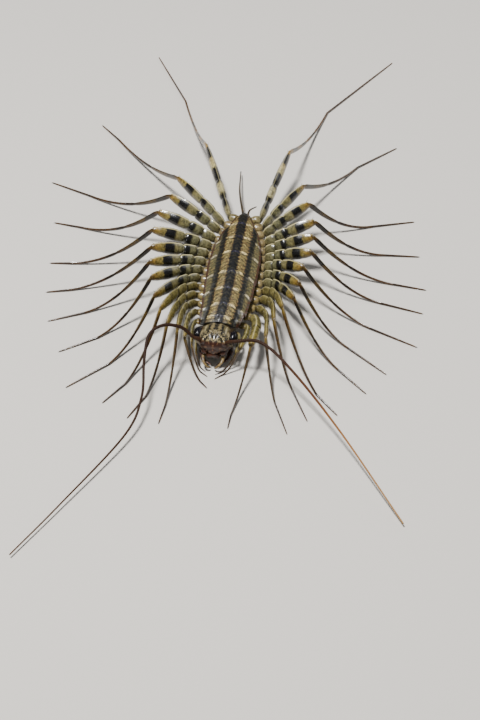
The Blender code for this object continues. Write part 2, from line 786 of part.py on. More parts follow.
def finish_model() -> None:
    """Centre the whole model over the origin and scale it from millimetres to metres."""
    pieces = list(bpy.context.scene.collection.objects)
    corners = [vert.co for piece in pieces for vert in piece.data.vertices]
    middle_x = (min(co.x for co in corners) + max(co.x for co in corners)) / 2
    middle_y = (min(co.y for co in corners) + max(co.y for co in corners)) / 2
    shift = Matrix.Translation((-middle_x, -middle_y, 0.0))
    for piece in pieces:
        piece.data.transform(Matrix.Scale(METRES_PER_MM, 4) @ shift)


def main() -> None:
    """Build every piece of the animal."""
    clear_scene()
    build_trunk()
    build_tail()
    build_head()
    build_eyes()
    build_antennae()
    build_mouthparts()
    build_legs()
    finish_model()


if __name__ == "__main__":
    main()
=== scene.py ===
"""House centipede at life size, standing still with its thirty legs spread.

Every shape is modelled in millimetres in the animal's own frame: it faces -Y with its tail
towards +Y, its left side is at +X and its feet rest on z = 0. A bench then carries each
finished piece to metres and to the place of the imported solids.
"""
import logging
import math
import random
from dataclasses import dataclass
from enum import Enum

import bmesh
import bpy
from mathutils import Matrix, Vector, noise

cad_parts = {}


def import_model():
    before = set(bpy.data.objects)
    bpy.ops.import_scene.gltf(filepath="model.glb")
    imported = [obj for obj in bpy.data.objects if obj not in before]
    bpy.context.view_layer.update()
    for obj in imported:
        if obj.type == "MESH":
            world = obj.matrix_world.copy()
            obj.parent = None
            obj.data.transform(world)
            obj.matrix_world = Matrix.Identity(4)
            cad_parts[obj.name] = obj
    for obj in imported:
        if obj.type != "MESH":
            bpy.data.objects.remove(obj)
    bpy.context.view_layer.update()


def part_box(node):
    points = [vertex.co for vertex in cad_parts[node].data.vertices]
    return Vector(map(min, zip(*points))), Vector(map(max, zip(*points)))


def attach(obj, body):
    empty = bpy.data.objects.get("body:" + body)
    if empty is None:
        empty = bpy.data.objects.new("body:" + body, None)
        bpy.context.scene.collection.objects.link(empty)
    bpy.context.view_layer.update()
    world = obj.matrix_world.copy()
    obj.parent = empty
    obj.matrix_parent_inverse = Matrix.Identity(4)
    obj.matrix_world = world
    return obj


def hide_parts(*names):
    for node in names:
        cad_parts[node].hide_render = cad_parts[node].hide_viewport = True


LOG = logging.getLogger("centipede")
BODY = "root"
METRES_PER_MM = 0.001
GAP = 0.3
UP = Vector((0.0, 0.0, 1.0))
Triple = tuple[float, float, float]
CHITIN_IOR = 1.56
WAX_IOR = 1.45
# What a vertex layer carries to the finishes: a place on a plate, or along and round a limb
PLATE_LAYERS = ("across", "margin", "ahead", "rim")
LIMB_LAYERS = ("reach", "level")
# Settings that many shader nodes share
COLOURS = {"output": 2, "data_type": "RGBA"}
DARKENED = {**COLOURS, "blend_type": "MULTIPLY"}
SCALED = {"operation": "MULTIPLY_ADD"}
TIMES = {"operation": "MULTIPLY"}
# On the unit circle of a limb: where the crest begins, and the top of a limb without one
CREST_FROM = 0.99
PLAIN_TOP = 0.9
# A spine's sides, and its middle, whole length and tip as shares of its free length and girth
SPINE_SIDES = 5
SPINE_MIDDLE = 0.4
SPINE_WHOLE = 1.2
SPINE_TIP = 0.06


class Side(Enum):
    """One of the animal's own two sides, with the sign of X there."""

    RIGHT = -1
    LEFT = 1

    @property
    def word(self) -> str:
        """Give the side's name as the nodes spell it."""
        return self.name.lower()


class Slot(Enum):
    """The record's material slots."""

    BACK = "back_plate"
    HEAD = "head_shell"
    EYE = "eye"
    LEG = "leg"
    FEELER = "feeler"
    CLAW = "poison_claw"
    TAIL = "tail_end"


class Kind(Enum):
    """The shader nodes that the finishes are built from."""

    ATTRIBUTE = "ShaderNodeAttribute"
    BUMP = "ShaderNodeBump"
    COMBINE = "ShaderNodeCombineXYZ"
    MAPPING = "ShaderNodeMapping"
    MATH = "ShaderNodeMath"
    MIX = "ShaderNodeMix"
    NOISE = "ShaderNodeTexNoise"
    OUTPUT = "ShaderNodeOutputMaterial"
    PLACE = "ShaderNodeTexCoord"
    RAMP = "ShaderNodeValToRGB"
    SEPARATE = "ShaderNodeSeparateXYZ"
    SHADER = "ShaderNodeBsdfPrincipled"
    VORONOI = "ShaderNodeTexVoronoi"


def heading(turn: float, side: Side) -> Vector:
    """Give the level direction at an angle back from straight out, in degrees."""
    angle = math.radians(turn)
    return Vector((side.value * math.cos(angle), math.sin(angle), 0.0))


def smooth_route(points: list[Vector], steps: int) -> list[Vector]:
    """Run a smooth curve through a few points.

    Args:
        points: the places that the curve passes through.
        steps: number of steps between two of them.

    Returns:
        Points along the curve, first and last included.
    """
    ends = [points[0] * 2 - points[1], *points, points[-1] * 2 - points[-2]]
    route = []
    for a, b, c, d in zip(ends, ends[1:], ends[2:], ends[3:]):
        for step in range(steps):
            t = step / steps
            bend = (2 * a - 5 * b + 4 * c - d) * t ** 2 + (3 * b - a - 3 * c + d) * t ** 3
            route.append(0.5 * (2 * b + (c - a) * t + bend))
    route.append(points[-1])
    return route


def blend_rows(rows: tuple, place: float) -> list[float]:
    """Read a row of a small profile between its own rows, eased at each.

    Args:
        rows: tuples whose first number is a place and whose others are sizes there.
        place: where to read.

    Returns:
        The sizes at that place.
    """
    before = rows[0]
    for after in rows[1:]:
        if place <= after[0]:
            share = max(0.0, (place - before[0]) / (after[0] - before[0]))
            share = share * share * (3.0 - 2.0 * share)
            return [a + (b - a) * share for a, b in zip(before[1:], after[1:])]
        before = after
    return list(before[1:])


def pick(items: list, kind: type) -> list:
    """Pick the verts or the edges out of what an operator made."""
    return [item for item in items if isinstance(item, kind)]


def settle(bm: bmesh.types.BMesh) -> None:
    """Put a bmesh's edges and faces in one order on every run, that of their corners.

    Args:
        bm: the bmesh, whose operators make them in an order that varies.
    """
    bm.verts.index_update()
    for items in (bm.edges, bm.faces):
        ordered = sorted(items, key=lambda item: sorted(vert.index for vert in item.verts))
        for index, item in enumerate(ordered):
            item.index = index
        items.sort()


@dataclass(frozen=True)
class Swell:
    """A bell-shaped rise beside a line, or a furrow where its height is below nought."""

    height: float
    place: float
    width: float

    def at(self, distance: float) -> float:
        """Give the rise at a distance from the line."""
        return self.height * math.exp(-(((distance - self.place) / self.width) ** 2))


@dataclass(frozen=True)
class BodyPlan:
    """The trunk's own measurements, in millimetres, as the solids have them."""

    trunk_front: float = -18.6
    plate_rear: tuple[float, ...] = (-13.3, -7.7, -1.9, 5.4, 11.4, 17.0, 22.0)
    plate_width: float = 6.15
    plate_widest_at: float = 5.0
    plate_taper_rear: float = 18.5
    plate_taper_front: float = 40.0
    plate_roundness: float = 0.7
    taper_limit: float = 0.98
    plate_lift: float = 0.95
    plate_overhang: float = 0.5
    plate_sag: float = 1.75
    plate_chevron: float = 2.0
    chevron_start: float = 6.0
    chevron_end: float = 24.0
    chevron_fade: float = 4.0
    core_width: float = 4.92
    core_widest_at: float = 3.0
    core_taper_rear: float = 24.5
    core_taper_front: float = 44.0
    core_roundness: float = 0.8
    core_end: float = 23.8
    crown: float = 8.6
    crown_at: float = 2.0
    rear_fall: tuple[float, float] = (1.6, 22.0)
    front_fall: tuple[float, float] = (0.5, 21.0)
    rump_start: float = 20.5
    rump_drop: float = 0.16
    belly: float = 2.8
    belly_rise: tuple[float, float] = (0.6, 22.0)
    socket_height: float = 4.7
    socket_span: float = 0.4
    socket_tries: int = 12
    front_socket_drop: float = 0.3
    dropped_pairs: int = 3
    bend_start: float = -6.0
    bend: float = 0.0053
    last_leg: float = 23.0
    leg_spacing: float = 2.95
    leg_count: int = 15

    def spine_x(self, y: float) -> float:
        """Give the sideways place of the middle line at a station."""
        return 0.0 if y > self.bend_start else -self.bend * (y - self.bend_start) ** 2

    def plate_half_width(self, y: float) -> float:
        """Give the half width of the back plates.

        Args:
            y: station along the body.

        Returns:
            The half width there.
        """
        reach = self.plate_taper_rear if y > self.plate_widest_at else self.plate_taper_front
        part = min(self.taper_limit, abs(y - self.plate_widest_at) / reach)
        return self.plate_width * (1.0 - part ** 2) ** self.plate_roundness

    def core_half_width(self, y: float) -> float:
        """Give the half width of the soft trunk.

        Args:
            y: station along the body.

        Returns:
            The half width there.
        """
        reach = self.core_taper_rear if y > self.core_widest_at else self.core_taper_front
        part = min(self.taper_limit, abs(y - self.core_widest_at) / reach)
        return self.core_width * (1.0 - part ** 2) ** self.core_roundness

    def crown_height(self, y: float) -> float:
        """Give the height of the back's middle line.

        Args:
            y: station along the body.

        Returns:
            The height above the floor.
        """
        fall, reach = self.rear_fall if y > self.crown_at else self.front_fall
        drop = fall * ((y - self.crown_at) / reach) ** 2
        return self.crown - drop - self.rump_drop * max(0.0, y - self.rump_start) ** 2

    def belly_height(self, y: float) -> float:
        """Give the height of the underside's middle line at a station."""
        rise, reach = self.belly_rise
        return self.belly + rise * ((y - self.crown_at) / reach) ** 2

    def back_height(self, x: float, y: float, lift: float) -> float:
        """Give the height of a back plate's outer face, without its own small relief.

        Args:
            x: distance from the middle line.
            y: station along the body.
            lift: how far the plate stands up here.

        Returns:
            The height above the floor.
        """
        half = self.plate_half_width(y)
        across = min(1.0, abs(x) / half)
        return self.crown_height(y) + lift - self.plate_sag * half / self.plate_width * across ** 2

    def chevron(self, x: float, y: float) -> float:
        """Give how far forward a station's sides are drawn.

        Args:
            x: distance from the middle line.
            y: station along the body.

        Returns:
            The distance towards the head.
        """
        front_ease = min(1.0, max(0.0, (y - self.trunk_front) / self.chevron_start))
        rear_ease = min(1.0, max(0.0, (self.chevron_end - y) / self.chevron_fade))
        across = min(1.0, abs(x) / self.plate_half_width(y))
        return self.plate_chevron * front_ease * rear_ease * across ** 2

    def lay(self, x: float, y: float, z: float) -> Vector:
        """Place a point of a station, drawn forward at the sides and bent with the spine."""
        return Vector((x + self.spine_x(y), y - self.chevron(x, y), z))

    def flank(self, station: float, side: Side) -> Vector:
        """Give the place of the trunk's side face at a station, level with the sockets."""
        return self.lay(side.value * self.core_half_width(station), station, self.socket_height)

    def leg_root(self, number: int) -> float:
        """Give the place along the body where a pair of legs stands."""
        return self.last_leg - self.leg_spacing * (self.leg_count - number)

    def socket(self, number: int, side: Side) -> tuple[Vector, Vector]:
        """Find where a leg stands on the trunk.

        Args:
            number: leg pair from the head, 1 to 15.
            side: the animal's own side.

        Returns:
            The middle of the leg's root face, and the level direction in which it leaves.
        """
        root = self.leg_root(number)
        station = root
        for _ in range(self.socket_tries):
            station += root - self.flank(station, side).y
        along = self.flank(station + self.socket_span, side) - self.flank(station - self.socket_span, side)
        outward = Vector((along.y, -along.x, 0.0)).normalized() * side.value
        place = self.flank(station, side) + outward * GAP
        place.z -= self.front_socket_drop * max(0, self.dropped_pairs - number)
        return place, outward


PLAN = BodyPlan()


def linear(code: str) -> tuple[float, float, float, float]:
    """Turn an sRGB hex colour into linear values.

    Args:
        code: the colour as # and six hex digits.

    Returns:
        Red, green and blue in linear light, with full alpha.
    """
    parts = [int(code[i:i + 2], 16) / 255.0 for i in (1, 3, 5)]
    values = [p / 12.92 if p <= 0.04045 else ((p + 0.055) / 1.055) ** 2.4 for p in parts]
    return (*values, 1.0)


def band_stops(bands: tuple, first: float, whole: float, soft: float) -> tuple:
    """Turn a list of dark bands into the stops of a mask.

    Args:
        bands: start, end and strength of each band, in order.
        first: the place at which the ramp starts.
        whole: the length that the ramp covers.
        soft: half the width of a band's edge.

    Returns:
        Places and grey values: a band's strength inside it and nought outside.
    """
    stops = [(0.0, 0.0)]
    for start, end, strength in bands:
        outer, inner = start - soft - first, start + soft - first
        stops += [(outer / whole, 0.0), (inner / whole, strength)]
        inner, outer = end - soft - first, end + soft - first
        stops += [(inner / whole, strength), (outer / whole, 0.0)]
    return tuple(stops)


class Cuticle:
    """The shared ground of every chitin finish: a node tree with a ruler in millimetres.

    The scale of a pattern that is laid on the ruler is its number of grains per millimetre.
    """

    def __init__(self, name: str) -> None:
        """Start an empty material.

        Args:
            name: the material's name.
        """
        self.material = bpy.data.materials.new(name)
        self.material.use_nodes = True
        self.tree = self.material.node_tree
        self.tree.nodes.clear()
        place = self.add(Kind.PLACE, output="Object")
        self.ruler = self.add(Kind.MAPPING, {"Vector": place, "Scale": (1000.0, 1000.0, 1000.0)})

    def add(
        self, kind: Kind, inputs: dict | None = None, stops: tuple = (), output: str | int = 0,
        **settings: object,
    ) -> bpy.types.NodeSocket:
        """Add one node with its settings, links and colour stops.

        Args:
            kind: the node's kind.
            inputs: input name or number to a value, or to the output that feeds it.
            stops: places and hex colours or grey values of a ramp.
            output: the output to give back.
            settings: the node's own properties.

        Returns:
            One output of the new node.
        """
        node = self.tree.nodes.new(kind.value)
        for name, value in settings.items():
            setattr(node, name, value)
        for key, value in (inputs or {}).items():
            if isinstance(value, bpy.types.NodeSocket):
                self.tree.links.new(value, node.inputs[key])
            else:
                node.inputs[key].default_value = value
        if stops:
            elements = node.color_ramp.elements
            while len(elements) < len(stops):
                elements.new(1.0)
            for element, (place, tone) in zip(elements, stops):
                element.position = place
                element.color = linear(tone) if isinstance(tone, str) else (tone, tone, tone, 1.0)
        return node.outputs[output] if node.outputs else None

    def close(
        self, colour: object, roughness: object, relief: tuple, coat: float = 0.0,
        coat_roughness: float = 0.1, shine: float = 0.5,
    ) -> bpy.types.Material:
        """Join colour, gloss and relief into the finished shader.

        Args:
            colour: the base colour.
            roughness: an output or a number.
            relief: pairs of a height from 0 to 1 and the millimetres that it stands for.
            coat: weight of the clear waxy layer on the chitin.
            coat_roughness: roughness of that layer.
            shine: strength of the mirror light, less where fine hairs break it up.

        Returns:
            The material.
        """
        inputs = {
            "Base Color": colour, "Roughness": roughness, "IOR": CHITIN_IOR, "Specular IOR Level": shine,
            "Coat Weight": coat, "Coat Roughness": coat_roughness, "Coat IOR": WAX_IOR,
        }
        for height, depth in relief:
            bump = {"Height": height, "Distance": depth * METRES_PER_MM}
            if "Normal" in inputs:
                bump["Normal"] = inputs["Normal"]
            inputs["Normal"] = self.add(Kind.BUMP, bump)
        self.add(Kind.OUTPUT, {"Surface": self.add(Kind.SHADER, inputs)})
        return self.material


@dataclass(frozen=True)
class BackShell:
    """Hard chitin of the back plates, laid down in thin tanned layers: satin, faintly pitted.

    The stripes keep their width in millimetres from the middle line, so they run on from
    plate to plate, and each plate ends in a pale streak at its thick rear margin. The ticks
    across the stripes stand one hatch apart, and the slant leans them back at the sides.
    """

    reach: float = 7.0
    hatch: float = 1.05
    slant: float = 0.75
    centre: str = "#050507"
    # Painted sheen: a dark violet that the middle stripe takes at each rear margin, standing in for small
    # highlights there.
    violet: str = "#141226"
    tan: str = "#695c37"
    ochre: str = "#a7945a"
    island: str = "#4f3a22"
    lateral: str = "#080806"
    border: str = "#4f4a30"
    border_dark: str = "#2a2718"
    rust: str = "#35190a"
    streak: str = "#cdb983"
    streak_border: str = "#a49878"

    def stripes(self, inner: str, edge: str, side: str, outer: str) -> tuple:
        """Place the colours of the stripes from the middle line to the plate's side.

        Args:
            inner: colour of the middle stripe.
            edge: colour where the inner pale stripe starts and ends.
            side: colour of the inner pale stripe.
            outer: colour of the border outside the dark side stripe.

        Returns:
            The ramp's stops.
        """
        places = (
            (0.0, inner), (0.95, inner), (1.12, edge), (1.3, side), (2.6, side), (2.85, edge),
            (3.0, self.lateral), (3.85, self.lateral), (4.1, self.border_dark), (4.3, outer), (5.55, outer),
            (5.8, self.rust), (self.reach, self.rust),
        )
        return tuple((place / self.reach, tone) for place, tone in places)

    def build(self) -> bpy.types.Material:
        """Build the striped plate material.

        Returns:
            The material.
        """
        work = Cuticle("chitin_back_plate")
        ragged = work.add(Kind.NOISE, {"Vector": work.ruler, "Scale": 2.2, "Detail": 4.0, "Roughness": 0.65})
        mottle = work.add(Kind.NOISE, {"Vector": work.ruler, "Scale": 1.1, "Detail": 3.0})
        fine = work.add(Kind.NOISE, {"Vector": work.ruler, "Scale": 5.5, "Detail": 4.0, "Roughness": 0.6})
        across, margin, ahead, rim = (
            work.add(Kind.ATTRIBUTE, output="Fac", attribute_name=word) for word in PLATE_LAYERS
        )
        along = work.add(Kind.SEPARATE, {"Vector": work.ruler}, output="Y")
        along = work.add(Kind.MATH, {0: across, 1: self.slant, 2: along}, **SCALED)
        along = work.add(Kind.MATH, {0: mottle, 1: 2.2, 2: along}, **SCALED)
        turn = work.add(Kind.MATH, {0: along, 1: math.tau / self.hatch}, **TIMES)
        hatch = work.add(Kind.MATH, {0: turn}, operation="SINE")
        moved = work.add(Kind.MATH, {0: ragged, 1: 1.5, 2: -0.75}, **SCALED)
        moved = work.add(Kind.MATH, {0: hatch, 1: 0.16, 2: moved}, **SCALED)
        moved = work.add(Kind.MATH, {0: across, 1: moved}, operation="ADD")
        share = work.add(Kind.MATH, {0: moved, 1: self.reach}, operation="DIVIDE")
        ground_stops = self.stripes(self.centre, self.island, self.tan, self.border)
        ground = work.add(Kind.RAMP, {"Fac": share}, ground_stops)
        island_stops = ((0.0, 0.0), (0.46, 0.0), (0.6, 0.85), (1.0, 0.85))
        islands = work.add(Kind.RAMP, {"Fac": mottle}, island_stops)
        middle_stops = ((0.0, 0.0), (0.12, 0.2), (0.35, 1.0), (0.68, 1.0), (0.85, 0.0), (1.0, 0.0))
        middle = work.add(Kind.RAMP, {"Fac": ahead}, middle_stops)
        pale_stops = (
            (0.0, 0.0), (0.15, 0.0), (0.2, 1.0), (0.38, 1.0), (0.42, 0.0), (0.6, 0.0), (0.66, 0.6),
            (1.0, 0.6),
        )
        pale = work.add(Kind.RAMP, {"Fac": share}, pale_stops)
        islands = work.add(Kind.MATH, {0: islands, 1: middle}, **TIMES)
        islands = work.add(Kind.MATH, {0: islands, 1: pale}, **TIMES)
        tone = work.add(Kind.MIX, {0: islands, 6: ground, 7: linear(self.island)}, **COLOURS)
        light_stops = ((0.0, 0.0), (0.53, 0.0), (0.61, 0.8), (1.0, 0.8))
        light = work.add(Kind.RAMP, {"Fac": ragged}, light_stops)
        light = work.add(Kind.MATH, {0: light, 1: pale}, **TIMES)
        tone = work.add(Kind.MIX, {0: light, 6: tone, 7: linear(self.ochre)}, **COLOURS)
        edge = work.add(Kind.MATH, {0: ragged, 1: 0.5, 2: margin}, **SCALED)
        edge = work.add(Kind.MATH, {0: edge, 1: 3.0}, operation="DIVIDE")
        line_stops = ((0.0, 0.0), (0.34, 0.0), (0.4, 0.55), (0.5, 0.0), (1.0, 0.0))
        line = work.add(Kind.RAMP, {"Fac": edge}, line_stops)
        tone = work.add(Kind.MIX, {0: line, 6: tone, 7: linear(self.lateral)}, **COLOURS)
        # At the rear margin the middle stripe takes the painted violet sheen.
        streak_stops = self.stripes(self.violet, self.tan, self.streak, self.streak_border)
        streak = work.add(Kind.RAMP, {"Fac": share}, streak_stops)
        near = work.add(Kind.RAMP, {"Fac": edge}, ((0.0, 1.0), (0.28, 1.0), (0.35, 0.0), (1.0, 0.0)))
        broken = work.add(Kind.RAMP, {"Fac": ragged}, ((0.0, 0.3), (0.42, 0.3), (0.52, 1.0), (1.0, 1.0)))
        near = work.add(Kind.MATH, {0: near, 1: broken}, **TIMES)
        tone = work.add(Kind.MIX, {0: near, 6: tone, 7: streak}, **COLOURS)
        # Painted shade: the front of each plate, which the plate before it overhangs, is darkened to the
        # dark stripe colour.
        start = work.add(Kind.RAMP, {"Fac": ahead}, ((0.0, 0.9), (0.13, 0.7), (0.2, 0.0), (1.0, 0.0)))
        tone = work.add(Kind.MIX, {0: start, 6: tone, 7: linear(self.lateral)}, **COLOURS)
        rim = work.add(Kind.MATH, {0: ragged, 1: 0.5, 2: rim}, **SCALED)
        seam = work.add(Kind.RAMP, {"Fac": rim}, ((0.0, 0.95), (0.62, 0.95), (0.85, 0.0), (1.0, 0.0)))
        tone = work.add(Kind.MIX, {0: seam, 6: tone, 7: linear(self.rust)}, **COLOURS)
        ticks = work.add(Kind.MATH, {0: hatch, 1: 0.22, 2: ragged}, **SCALED)
        ticks = work.add(Kind.RAMP, {"Fac": ticks}, ((0.0, 0.0), (0.57, 0.0), (0.68, 0.85), (1.0, 0.85)))
        tone = work.add(Kind.MIX, {0: ticks, 6: tone, 7: linear(self.border_dark)}, **COLOURS)
        shade = work.add(Kind.MATH, {0: fine, 1: 1.5, 2: 0.25}, **SCALED)
        tone = work.add(Kind.MIX, {0: 1.0, 6: tone, 7: shade}, **DARKENED)
        pits = work.add(Kind.VORONOI, {"Vector": work.ruler, "Scale": 3.4})
        gloss = work.add(Kind.MATH, {0: fine, 1: 0.25, 2: 0.33}, **SCALED)
        return work.close(tone, gloss, ((fine, 0.025), (pits, 0.03)), 0.1, 0.12, 0.25)


@dataclass(frozen=True)
class LegShell:
    """Hard chitin of a leg, tanned in bands: glossy, cloudy under its clear wax, with painted shade below.

    A place along the leg is 0 at the hip, 1 at the knee, 2 where the foot meets the floor
    and 3 at the tip, and the coxa runs from -0.2 to 0. The crest is the strength of the painted
    highlight along the top, and soft half the width of a band's edge.
    """

    name: str
    tones: tuple[tuple[float, str], ...]
    bands: tuple[Triple, ...]
    black: str = "#080706"
    # Colour of the painted highlight along the top of the leg.
    ridge_highlight: str = "#d8cb95"
    crest: float = 0.65
    soft: float = 0.012
    first: float = -0.2
    whole: float = 3.2

    def build(self) -> bpy.types.Material:
        """Build the banded leg material.

        Returns:
            The material.
        """
        work = Cuticle(self.name)
        mottle = work.add(Kind.NOISE, {"Vector": work.ruler, "Scale": 1.5, "Detail": 4.0, "Roughness": 0.6})
        fine = work.add(Kind.NOISE, {"Vector": work.ruler, "Scale": 6.0, "Detail": 3.0})
        reach = work.add(Kind.ATTRIBUTE, output="Fac", attribute_name="reach")
        level = work.add(Kind.ATTRIBUTE, output="Fac", attribute_name="level")
        shift = work.add(Kind.MATH, {0: mottle, 1: 0.07, 2: -0.035 - self.first}, **SCALED)
        moved = work.add(Kind.MATH, {0: reach, 1: shift}, operation="ADD")
        share = work.add(Kind.MATH, {0: moved, 1: self.whole}, operation="DIVIDE")
        stops = tuple(((place - self.first) / self.whole, tone) for place, tone in self.tones)
        ground = work.add(Kind.RAMP, {"Fac": share}, stops)
        shade = work.add(Kind.MATH, {0: mottle, 1: 2.3, 2: -0.46}, **SCALED)
        ground = work.add(Kind.MIX, {0: 1.0, 6: ground, 7: shade}, **DARKENED)
        mask = work.add(Kind.RAMP, {"Fac": share}, band_stops(self.bands, self.first, self.whole, self.soft))
        tone = work.add(Kind.MIX, {0: mask, 6: ground, 7: linear(self.black)}, **COLOURS)
        # Painted highlight: a pale line along the top, strongest on the thighs.
        line_stops = ((0.0, 0.0), (0.982, 0.0), (0.991, 0.85 * self.crest), (1.0, self.crest))
        line = work.add(Kind.RAMP, {"Fac": level}, line_stops)
        upper_stops = ((0.0, 0.5), (0.08, 1.0), (0.36, 1.0), (0.39, 0.3), (1.0, 0.1))
        upper = work.add(Kind.RAMP, {"Fac": share}, upper_stops)
        line = work.add(Kind.MATH, {0: line, 1: upper}, **TIMES)
        tone = work.add(Kind.MIX, {0: line, 6: tone, 7: linear(self.ridge_highlight)}, **COLOURS)
        # Painted shade: the underside of the leg is darkened towards black.
        lowered = work.add(Kind.MATH, {0: mottle, 1: 0.1, 2: level}, **SCALED)
        underside_shade = work.add(Kind.RAMP, {"Fac": lowered}, ((0.0, 0.9), (0.28, 0.9), (0.38, 0.0), (1.0, 0.0)))
        tone = work.add(Kind.MIX, {0: underside_shade, 6: tone, 7: linear(self.black)}, **COLOURS)
        gloss = work.add(Kind.MATH, {0: fine, 1: 0.25, 2: 0.15}, **SCALED)
        return work.close(tone, gloss, ((mottle, 0.04), (fine, 0.015)), 0.4, 0.05, 0.4)


@dataclass(frozen=True)
class HeadShell:
    """Hard chitin of the head, tanned like tortoiseshell: cream flecks on black, rust on the face."""

    cream: str = "#b3a47a"
    tan: str = "#6f6140"
    olive: str = "#4f482e"
    black: str = "#080706"
    rust: str = "#2e150b"
    flesh: str = "#5d3b28"
    half: float = 4.5

    def build(self) -> bpy.types.Material:
        """Build the mottled head material, alike on both sides of the middle line.

        Returns:
            The material.
        """
        work = Cuticle("chitin_head")
        local = work.add(Kind.ATTRIBUTE, output="Vector", attribute_name="local")
        x, y, z = (work.add(Kind.SEPARATE, {"Vector": local}, output=axis) for axis in "XYZ")
        across = work.add(Kind.MATH, {0: x}, operation="ABSOLUTE")
        paired = work.add(Kind.COMBINE, {"X": across, "Y": y, "Z": z})
        flecks = work.add(Kind.NOISE, {"Vector": paired, "Scale": 1.5, "Detail": 4.0, "Roughness": 0.7})
        warm = work.add(Kind.NOISE, {"Vector": paired, "Scale": 1.7, "Detail": 3.0, "Roughness": 0.55})
        fine = work.add(Kind.NOISE, {"Vector": work.ruler, "Scale": 6.0, "Detail": 4.0})
        moved = work.add(Kind.MATH, {0: flecks, 1: 1.3, 2: -0.65}, **SCALED)
        moved = work.add(Kind.MATH, {0: across, 1: moved}, operation="ADD")
        share = work.add(Kind.MATH, {0: moved, 1: self.half}, operation="DIVIDE")
        stripe_stops = (
            (0.0, self.black), (0.09, self.black), (0.13, self.tan), (0.22, self.tan), (0.26, self.black),
            (0.36, self.black), (0.4, self.olive), (0.5, self.olive), (0.54, self.cream), (0.6, self.olive),
            (0.76, self.rust), (1.0, self.rust),
        )
        tone = work.add(Kind.RAMP, {"Fac": share}, stripe_stops)
        fleck_stops = (
            (0.0, self.black), (0.5, self.black), (0.52, self.tan), (0.55, self.cream), (0.59, self.tan),
            (0.61, self.black), (1.0, self.black),
        )
        flecked = work.add(Kind.RAMP, {"Fac": warm}, fleck_stops)
        forward = work.add(Kind.MATH, {0: y, 1: -0.125, 2: 0.5}, **SCALED)
        crown = work.add(Kind.RAMP, {"Fac": forward}, ((0.0, 0.15), (0.45, 0.25), (0.62, 0.85), (1.0, 0.9)))
        tone = work.add(Kind.MIX, {0: crown, 6: tone, 7: flecked}, **COLOURS)
        lowered = work.add(Kind.MATH, {0: z, 1: -0.0625, 2: forward}, **SCALED)
        lowered = work.add(Kind.MATH, {0: warm, 1: 0.12, 2: lowered}, **SCALED)
        face = work.add(Kind.RAMP, {"Fac": lowered}, ((0.0, 0.0), (0.8, 0.0), (0.88, 1.0), (1.0, 1.0)))
        face_stops = (
            (0.0, self.black), (0.42, self.rust), (0.54, self.rust), (0.62, self.flesh), (0.7, self.tan),
            (1.0, self.cream),
        )
        face_tone = work.add(Kind.RAMP, {"Fac": warm}, face_stops)
        tone = work.add(Kind.MIX, {0: face, 6: tone, 7: face_tone}, **COLOURS)
        gloss = work.add(Kind.MATH, {0: fine, 1: 0.3, 2: 0.2}, **SCALED)
        return work.close(tone, gloss, ((warm, 0.05), (fine, 0.02)), 0.3, 0.08, 0.3)


@dataclass(frozen=True)
class EyeLens:
    """Clear chitin lenses over dark pigment, packed side by side: glossy and finely pebbled.

    A real lens is about 0.06 mm wide; it is drawn about twice that so that it shows.
    """

    deep: str = "#020103"
    glint: str = "#0b0711"
    lens: float = 0.13

    def build(self) -> bpy.types.Material:
        """Build the faceted eye material.

        Returns:
            The material.
        """
        work = Cuticle("chitin_eye_lenses")
        cells = work.add(Kind.VORONOI, {"Vector": work.ruler, "Scale": 1.0 / self.lens, "Randomness": 0.35})
        dome = work.add(Kind.MATH, {0: 1.0, 1: cells}, operation="SUBTRACT")
        cloud = work.add(Kind.NOISE, {"Vector": work.ruler, "Scale": 0.8})
        tone = work.add(Kind.MIX, {0: cloud, 6: linear(self.deep), 7: linear(self.glint)}, **COLOURS)
        return work.close(tone, 0.25, ((dome, 0.02),), 0.4, 0.04, 0.2)


@dataclass(frozen=True)
class PlainShell:
    """Chitin of one ground colour with darker clouds, for skin, belly, mouthparts and tail.

    It is satin, and duller where it is soft. The size of its clouds and the depth of its
    grain are in millimetres, and the grain is a quarter as wide as the clouds.
    """

    name: str
    light: str
    dark: str
    cloud: float
    relief: float
    rough: float

    def build(self) -> bpy.types.Material:
        """Build the clouded material.

        Returns:
            The material.
        """
        work = Cuticle(self.name)
        cloud = work.add(Kind.NOISE, {"Vector": work.ruler, "Scale": 1.0 / self.cloud, "Detail": 4.0})
        fine = work.add(Kind.NOISE, {"Vector": work.ruler, "Scale": 4.0 / self.cloud, "Detail": 3.0})
        share = work.add(Kind.RAMP, {"Fac": cloud}, ((0.0, 0.0), (0.38, 0.0), (0.62, 1.0), (1.0, 1.0)))
        tone = work.add(Kind.MIX, {0: share, 6: linear(self.dark), 7: linear(self.light)}, **COLOURS)
        gloss = work.add(Kind.MATH, {0: fine, 1: 0.25, 2: self.rough}, **SCALED)
        return work.close(tone, gloss, ((fine, self.relief),), 0.15, 0.15)


